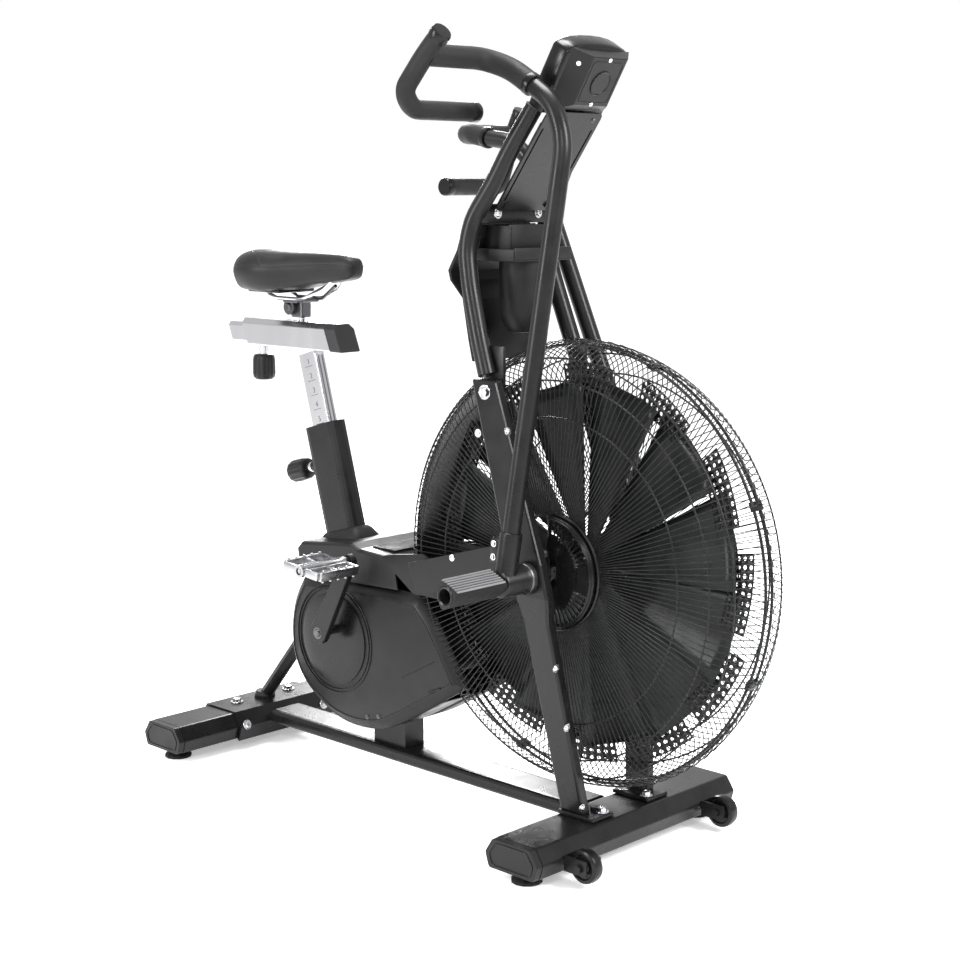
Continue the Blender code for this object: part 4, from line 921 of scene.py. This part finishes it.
for s in (1, -1):
    wheel(s)
    for tag, x in (("f", 0.071), ("r", -0.860)):
        outer = [(-0.033, 0.0655), (0.033, 0.0655), (0.048, 0.046), (0.041, 0.0265),
                 (-0.041, 0.0265), (-0.048, 0.046)]
        rim = [W(x + dx, s * 0.2602, z) for dx, z in outer]
        curves("cap_lip_" + tag + TAG[s], [rounded(rim + rim[:2], 0.006, 4)[1:-2]], 0.0013,
               SATIN, "base", res=2, closed=True)

# ---------------------------------------------------------------- seat post details
bm = bmesh.new()
for sy in (-0.0045, 0.0045):
    box_into(bm, (0.0246, sy - 0.0012, -0.01), (0.0254, sy + 0.0012, 0.138))
for k in range(5):
    z = 0.009 + 0.028 * k
    for s in (-1, 1):
        ya, yb = sorted((s * 0.0122, s * 0.01265))
        box_into(bm, (-0.010, ya, z), (0.012, yb, z + 0.0012))
bmesh.ops.transform(bm, matrix=SEAT, verts=bm.verts)
add("post_scale", from_bm(bm), MARK, "seat_height")
for k in range(5):
    text = bpy.data.curves.new("n", "FONT")
    text.body = str(5 - k)
    text.size = 0.015
    text.extrude = 0.0002
    text.align_x = "CENTER"
    turn = (SEAT @ Matrix.Translation((0.002, -0.0126, 0.014 + 0.028 * k))
            @ Matrix.Rotation(radians(90), 4, "X"))
    obj = bpy.data.objects.new("post_number_%d" % (5 - k), text)
    bpy.context.scene.collection.objects.link(obj)
    text.materials.append(MARK)
    obj.matrix_world = turn
    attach(obj, "seat_height")


FLUTES = 12
FLUTE_DEPTH = 0.0011


def knob(name, at, axis, body, node):
    """Fluted knob with a plain metal neck."""
    bm = bmesh.new()
    turn = Matrix.Translation(at) @ frame_to(axis)
    count = 48
    rows = []
    for r, h, flute in ((0.0085, 0.0182, 0), (0.0180, 0.0192, 0), (0.0205, 0.0225, 0.3),
                        (0.0218, 0.0290, 1.0), (0.0224, 0.0560, 1.0), (0.0212, 0.0640, 0.5),
                        (0.0165, 0.0682, 0.0), (0.0100, 0.0690, 0.0)):
        row = []
        for k in range(count):
            a = 2 * pi * k / count
            reach = r - FLUTE_DEPTH * flute * (1 + cos(FLUTES * a))
            row.append(bm.verts.new(turn @ Vector((reach * cos(a), reach * sin(a), h))))
        rows.append(row)
    skin_into(bm, rows, caps=True)
    add(name, from_bm(bm, True), PLASTIC, body, (node,), smooth=60)
    lathe(name + "_neck", ((0.0, 0.0185), (0.0078, 0.0185), (0.0078, 0.0120), (0.0102, 0.0115),
                           (0.0102, 0.0040), (0.0078, 0.0035), (0.0078, 0.0003), (0.0, 0.0003)),
          at, axis, ZINC, body, steps=32)


knob("post_knob_grip", SEAT @ Vector((-0.0525, 0, -0.0655)),
     (-cos(SEAT_TILT), 0, sin(SEAT_TILT)), "post_pin", "post_knob")
knob("slider_knob_grip", W(-0.8445, 0, 0.7965), (0, 0, -1), "slider_pin", "slider_knob")
lathe("saddle_nut", ((0.0, 0.0265), (0.0060, 0.0265), (0.0075, 0.0250), (0.0085, 0.0222),
                     (0.0150, 0.0221)), W(-0.740, 0, 0.876), (0, -1, 0), DARK_STEEL,
      "seat_slide", steps=32)

# ---------------------------------------------------------------- saddle
OUTLINE = ((-0.8590, 0.046, 0.922, 0.964), (-0.852, 0.066, 0.911, 0.976),
           (-0.834, 0.083, 0.906, 0.984), (-0.805, 0.0890, 0.9050, 0.9880),
           (-0.780, 0.0875, 0.9050, 0.9878), (-0.755, 0.081, 0.9070, 0.9862),
           (-0.735, 0.071, 0.9090, 0.9845), (-0.712, 0.058, 0.9130, 0.9835),
           (-0.688, 0.047, 0.9175, 0.9830), (-0.660, 0.0385, 0.9220, 0.9825),
           (-0.630, 0.033, 0.9255, 0.9820), (-0.600, 0.0285, 0.9290, 0.9805),
           (-0.578, 0.0235, 0.9325, 0.9770), (-0.563, 0.0155, 0.940, 0.969))


def saddle_ring(x, half, low, high):
    """One section: a crowned pad above a tucked-in side."""
    out = []
    for t, h in ((0.0, 1.0), (0.30, 0.995), (0.58, 0.965), (0.80, 0.88), (0.93, 0.74),
                 (1.0, 0.56), (0.985, 0.40), (0.93, 0.26), (0.86, 0.12), (0.74, 0.02),
                 (0.40, 0.0), (0.0, 0.0)):
        dip = 0.0
        if t < 0.5 and h > 0.9 and -0.82 < x < -0.60:
            dip = 0.0018 * (1 - t / 0.5)
        out.append((x, half * t, low + (high - low) * h - dip))
    return out


bm = bmesh.new()
rows = []
for st in OUTLINE:
    half_ring = saddle_ring(*st)
    full = half_ring + [(x, -y, z) for x, y, z in reversed(half_ring[1:-1])]
    rows.append([bm.verts.new(W(*p)) for p in full])
skin_into(bm, rows, caps=True)
saddle = add("saddle_cover", from_bm(bm, True), HIDE, "seat_slide", ("saddle",), smooth=80)
sub = saddle.modifiers.new("round", "SUBSURF")
sub.levels = 2
sub.render_levels = 2
bpy.context.view_layer.update()
graph = bpy.context.evaluated_depsgraph_get()
skin = BVHTree.FromObject(saddle, graph)


def on_saddle(x, y, z):
    """The nearest point of the cover, and its outward normal."""
    return skin.find_nearest(W(x, y, z))[:2]


def seam(name, pts):
    """A sewn seam: a thin welt with a row of stitches beside it."""
    dense = []
    for a, b in zip(pts, pts[1:]):
        count = max(2, int((Vector(b) - Vector(a)).length / 0.003))
        dense += [Vector(a).lerp(Vector(b), k / count) for k in range(count)]
    dense.append(Vector(pts[-1]))
    path = []
    for p in dense:
        spot, nrm = on_saddle(*p)
        path.append(spot + nrm * 0.0001)
    curves(name + "_welt", [path], 0.0009, HIDE_SIDE, "seat_slide", res=2)
    bm = bmesh.new()
    for a, b in zip(path, path[1:]):
        mid, nrm = skin.find_nearest((a + b) / 2)[:2]
        run = (b - a).normalized()
        side_v = nrm.cross(run).normalized()
        spot = mid + side_v * 0.0034 + nrm * 0.0002
        spot = skin.find_nearest(spot)[0] + nrm * 0.0003
        turn = Matrix(((*run, 0), (*side_v, 0), (*nrm, 0), (0, 0, 0, 1))).transposed()
        turn.translation = spot
        turned_box_into(bm, (-0.0009, -0.00035, -0.00025), (0.0009, 0.00035, 0.00025), turn,
                        0.0002, 1)
    add(name + "_stitches", from_bm(bm), THREAD, "seat_slide")


for s in (1, -1):
    tag = TAG[s]
    side_line = [(x, s * half * 1.02, low + (high - low) * 0.60)
                 for x, half, low, high in OUTLINE[2:]]
    seam("saddle_side_seam_" + tag, side_line)
    seam("saddle_tail_seam_" + tag, [(-0.838, s * 0.0, 1.0), (-0.832, s * 0.030, 1.0),
                                    (-0.815, s * 0.055, 1.0), (-0.790, s * 0.070, 0.99),
                                    (-0.765, s * 0.078, 0.975), (-0.755, s * 0.083, 0.955)])
seam("saddle_centre_seam", [(-0.800, 0, 1.0), (-0.70, 0, 1.0), (-0.60, 0, 1.0)])
block("saddle_base", W(-0.835, -0.046, 0.9030), W(-0.740, 0.046, 0.9120), SATIN, "seat_slide",
      bevel=0.004)
for s in (1, -1):
    rail = [W(-0.800, s * 0.030, 0.9050), W(-0.776, s * 0.0275, 0.8935),
            W(-0.700, s * 0.0262, 0.8925), W(-0.640, s * 0.020, 0.9120),
            W(-0.615, s * 0.014, 0.9360)]
    curves("saddle_rail_" + TAG[s], [rounded(rail, 0.012, 6)], 0.0034, ZINC, "seat_slide", res=4)

# ---------------------------------------------------------------- camera, floor, light
cam_data = bpy.data.cameras.new("camera")
cam = bpy.data.objects.new("camera", cam_data)
bpy.context.scene.collection.objects.link(cam)
cam.location = (1.93676 + FX, -2.25523, 1.10326)
cam.rotation_euler = (radians(90 - 9.242), 0, radians(44.102))
cam_data.lens = 67.474
cam_data.sensor_width = 36.0
bpy.context.scene.camera = cam

bm = bmesh.new()
bmesh.ops.create_grid(bm, x_segments=1, y_segments=1, size=40)
floor_mesh = from_bm(bm)
floor = bpy.data.objects.new("floor", floor_mesh)
floor.location.z = -0.0005
bpy.context.scene.collection.objects.link(floor)
floor_mat = bpy.data.materials.new("floor")
floor_mat.use_nodes = True
floor_shader = floor_mat.node_tree.nodes["Principled BSDF"]
floor_shader.inputs["Base Color"].default_value = (0.93, 0.93, 0.93, 1)
floor_shader.inputs["Roughness"].default_value = 0.75
floor_shader.inputs["Specular IOR Level"].default_value = 0.2
floor_shader.inputs["Emission Color"].default_value = (1, 1, 1, 1)
floor_shader.inputs["Emission Strength"].default_value = 0.35
floor_mesh.materials.append(floor_mat)


def light(name, at, size, power, target=(0.0, 0.0, 0.55)):
    data = bpy.data.lights.new(name, "AREA")
    data.shape = "RECTANGLE"
    data.size, data.size_y = size
    data.energy = power
    obj = bpy.data.objects.new(name, data)
    obj.location = at
    obj.rotation_euler = (Vector(at) - Vector(target)).to_track_quat("Z", "Y").to_euler()
    bpy.context.scene.collection.objects.link(obj)


light("key", (2.8, 0.4, 2.4), (0.8, 1.6), 130)
light("side", (-0.9, -3.1, 1.7), (0.6, 1.8), 90)
light("front_low", (2.4, -2.9, 2.6), (0.8, 0.8), 45)
light("top", (-0.2, 0.1, 3.3), (1.4, 1.0), 110, (0, 0, 0.4))
light("back", (-2.4, 2.2, 1.9), (0.8, 1.6), 110)
world = bpy.data.worlds.new("world")
world.use_nodes = True
world.node_tree.nodes["Background"].inputs["Color"].default_value = (1, 1, 1, 1)
world.node_tree.nodes["Background"].inputs["Strength"].default_value = 1.0
bpy.context.scene.world = world
bpy.context.scene.view_settings.view_transform = "Standard"
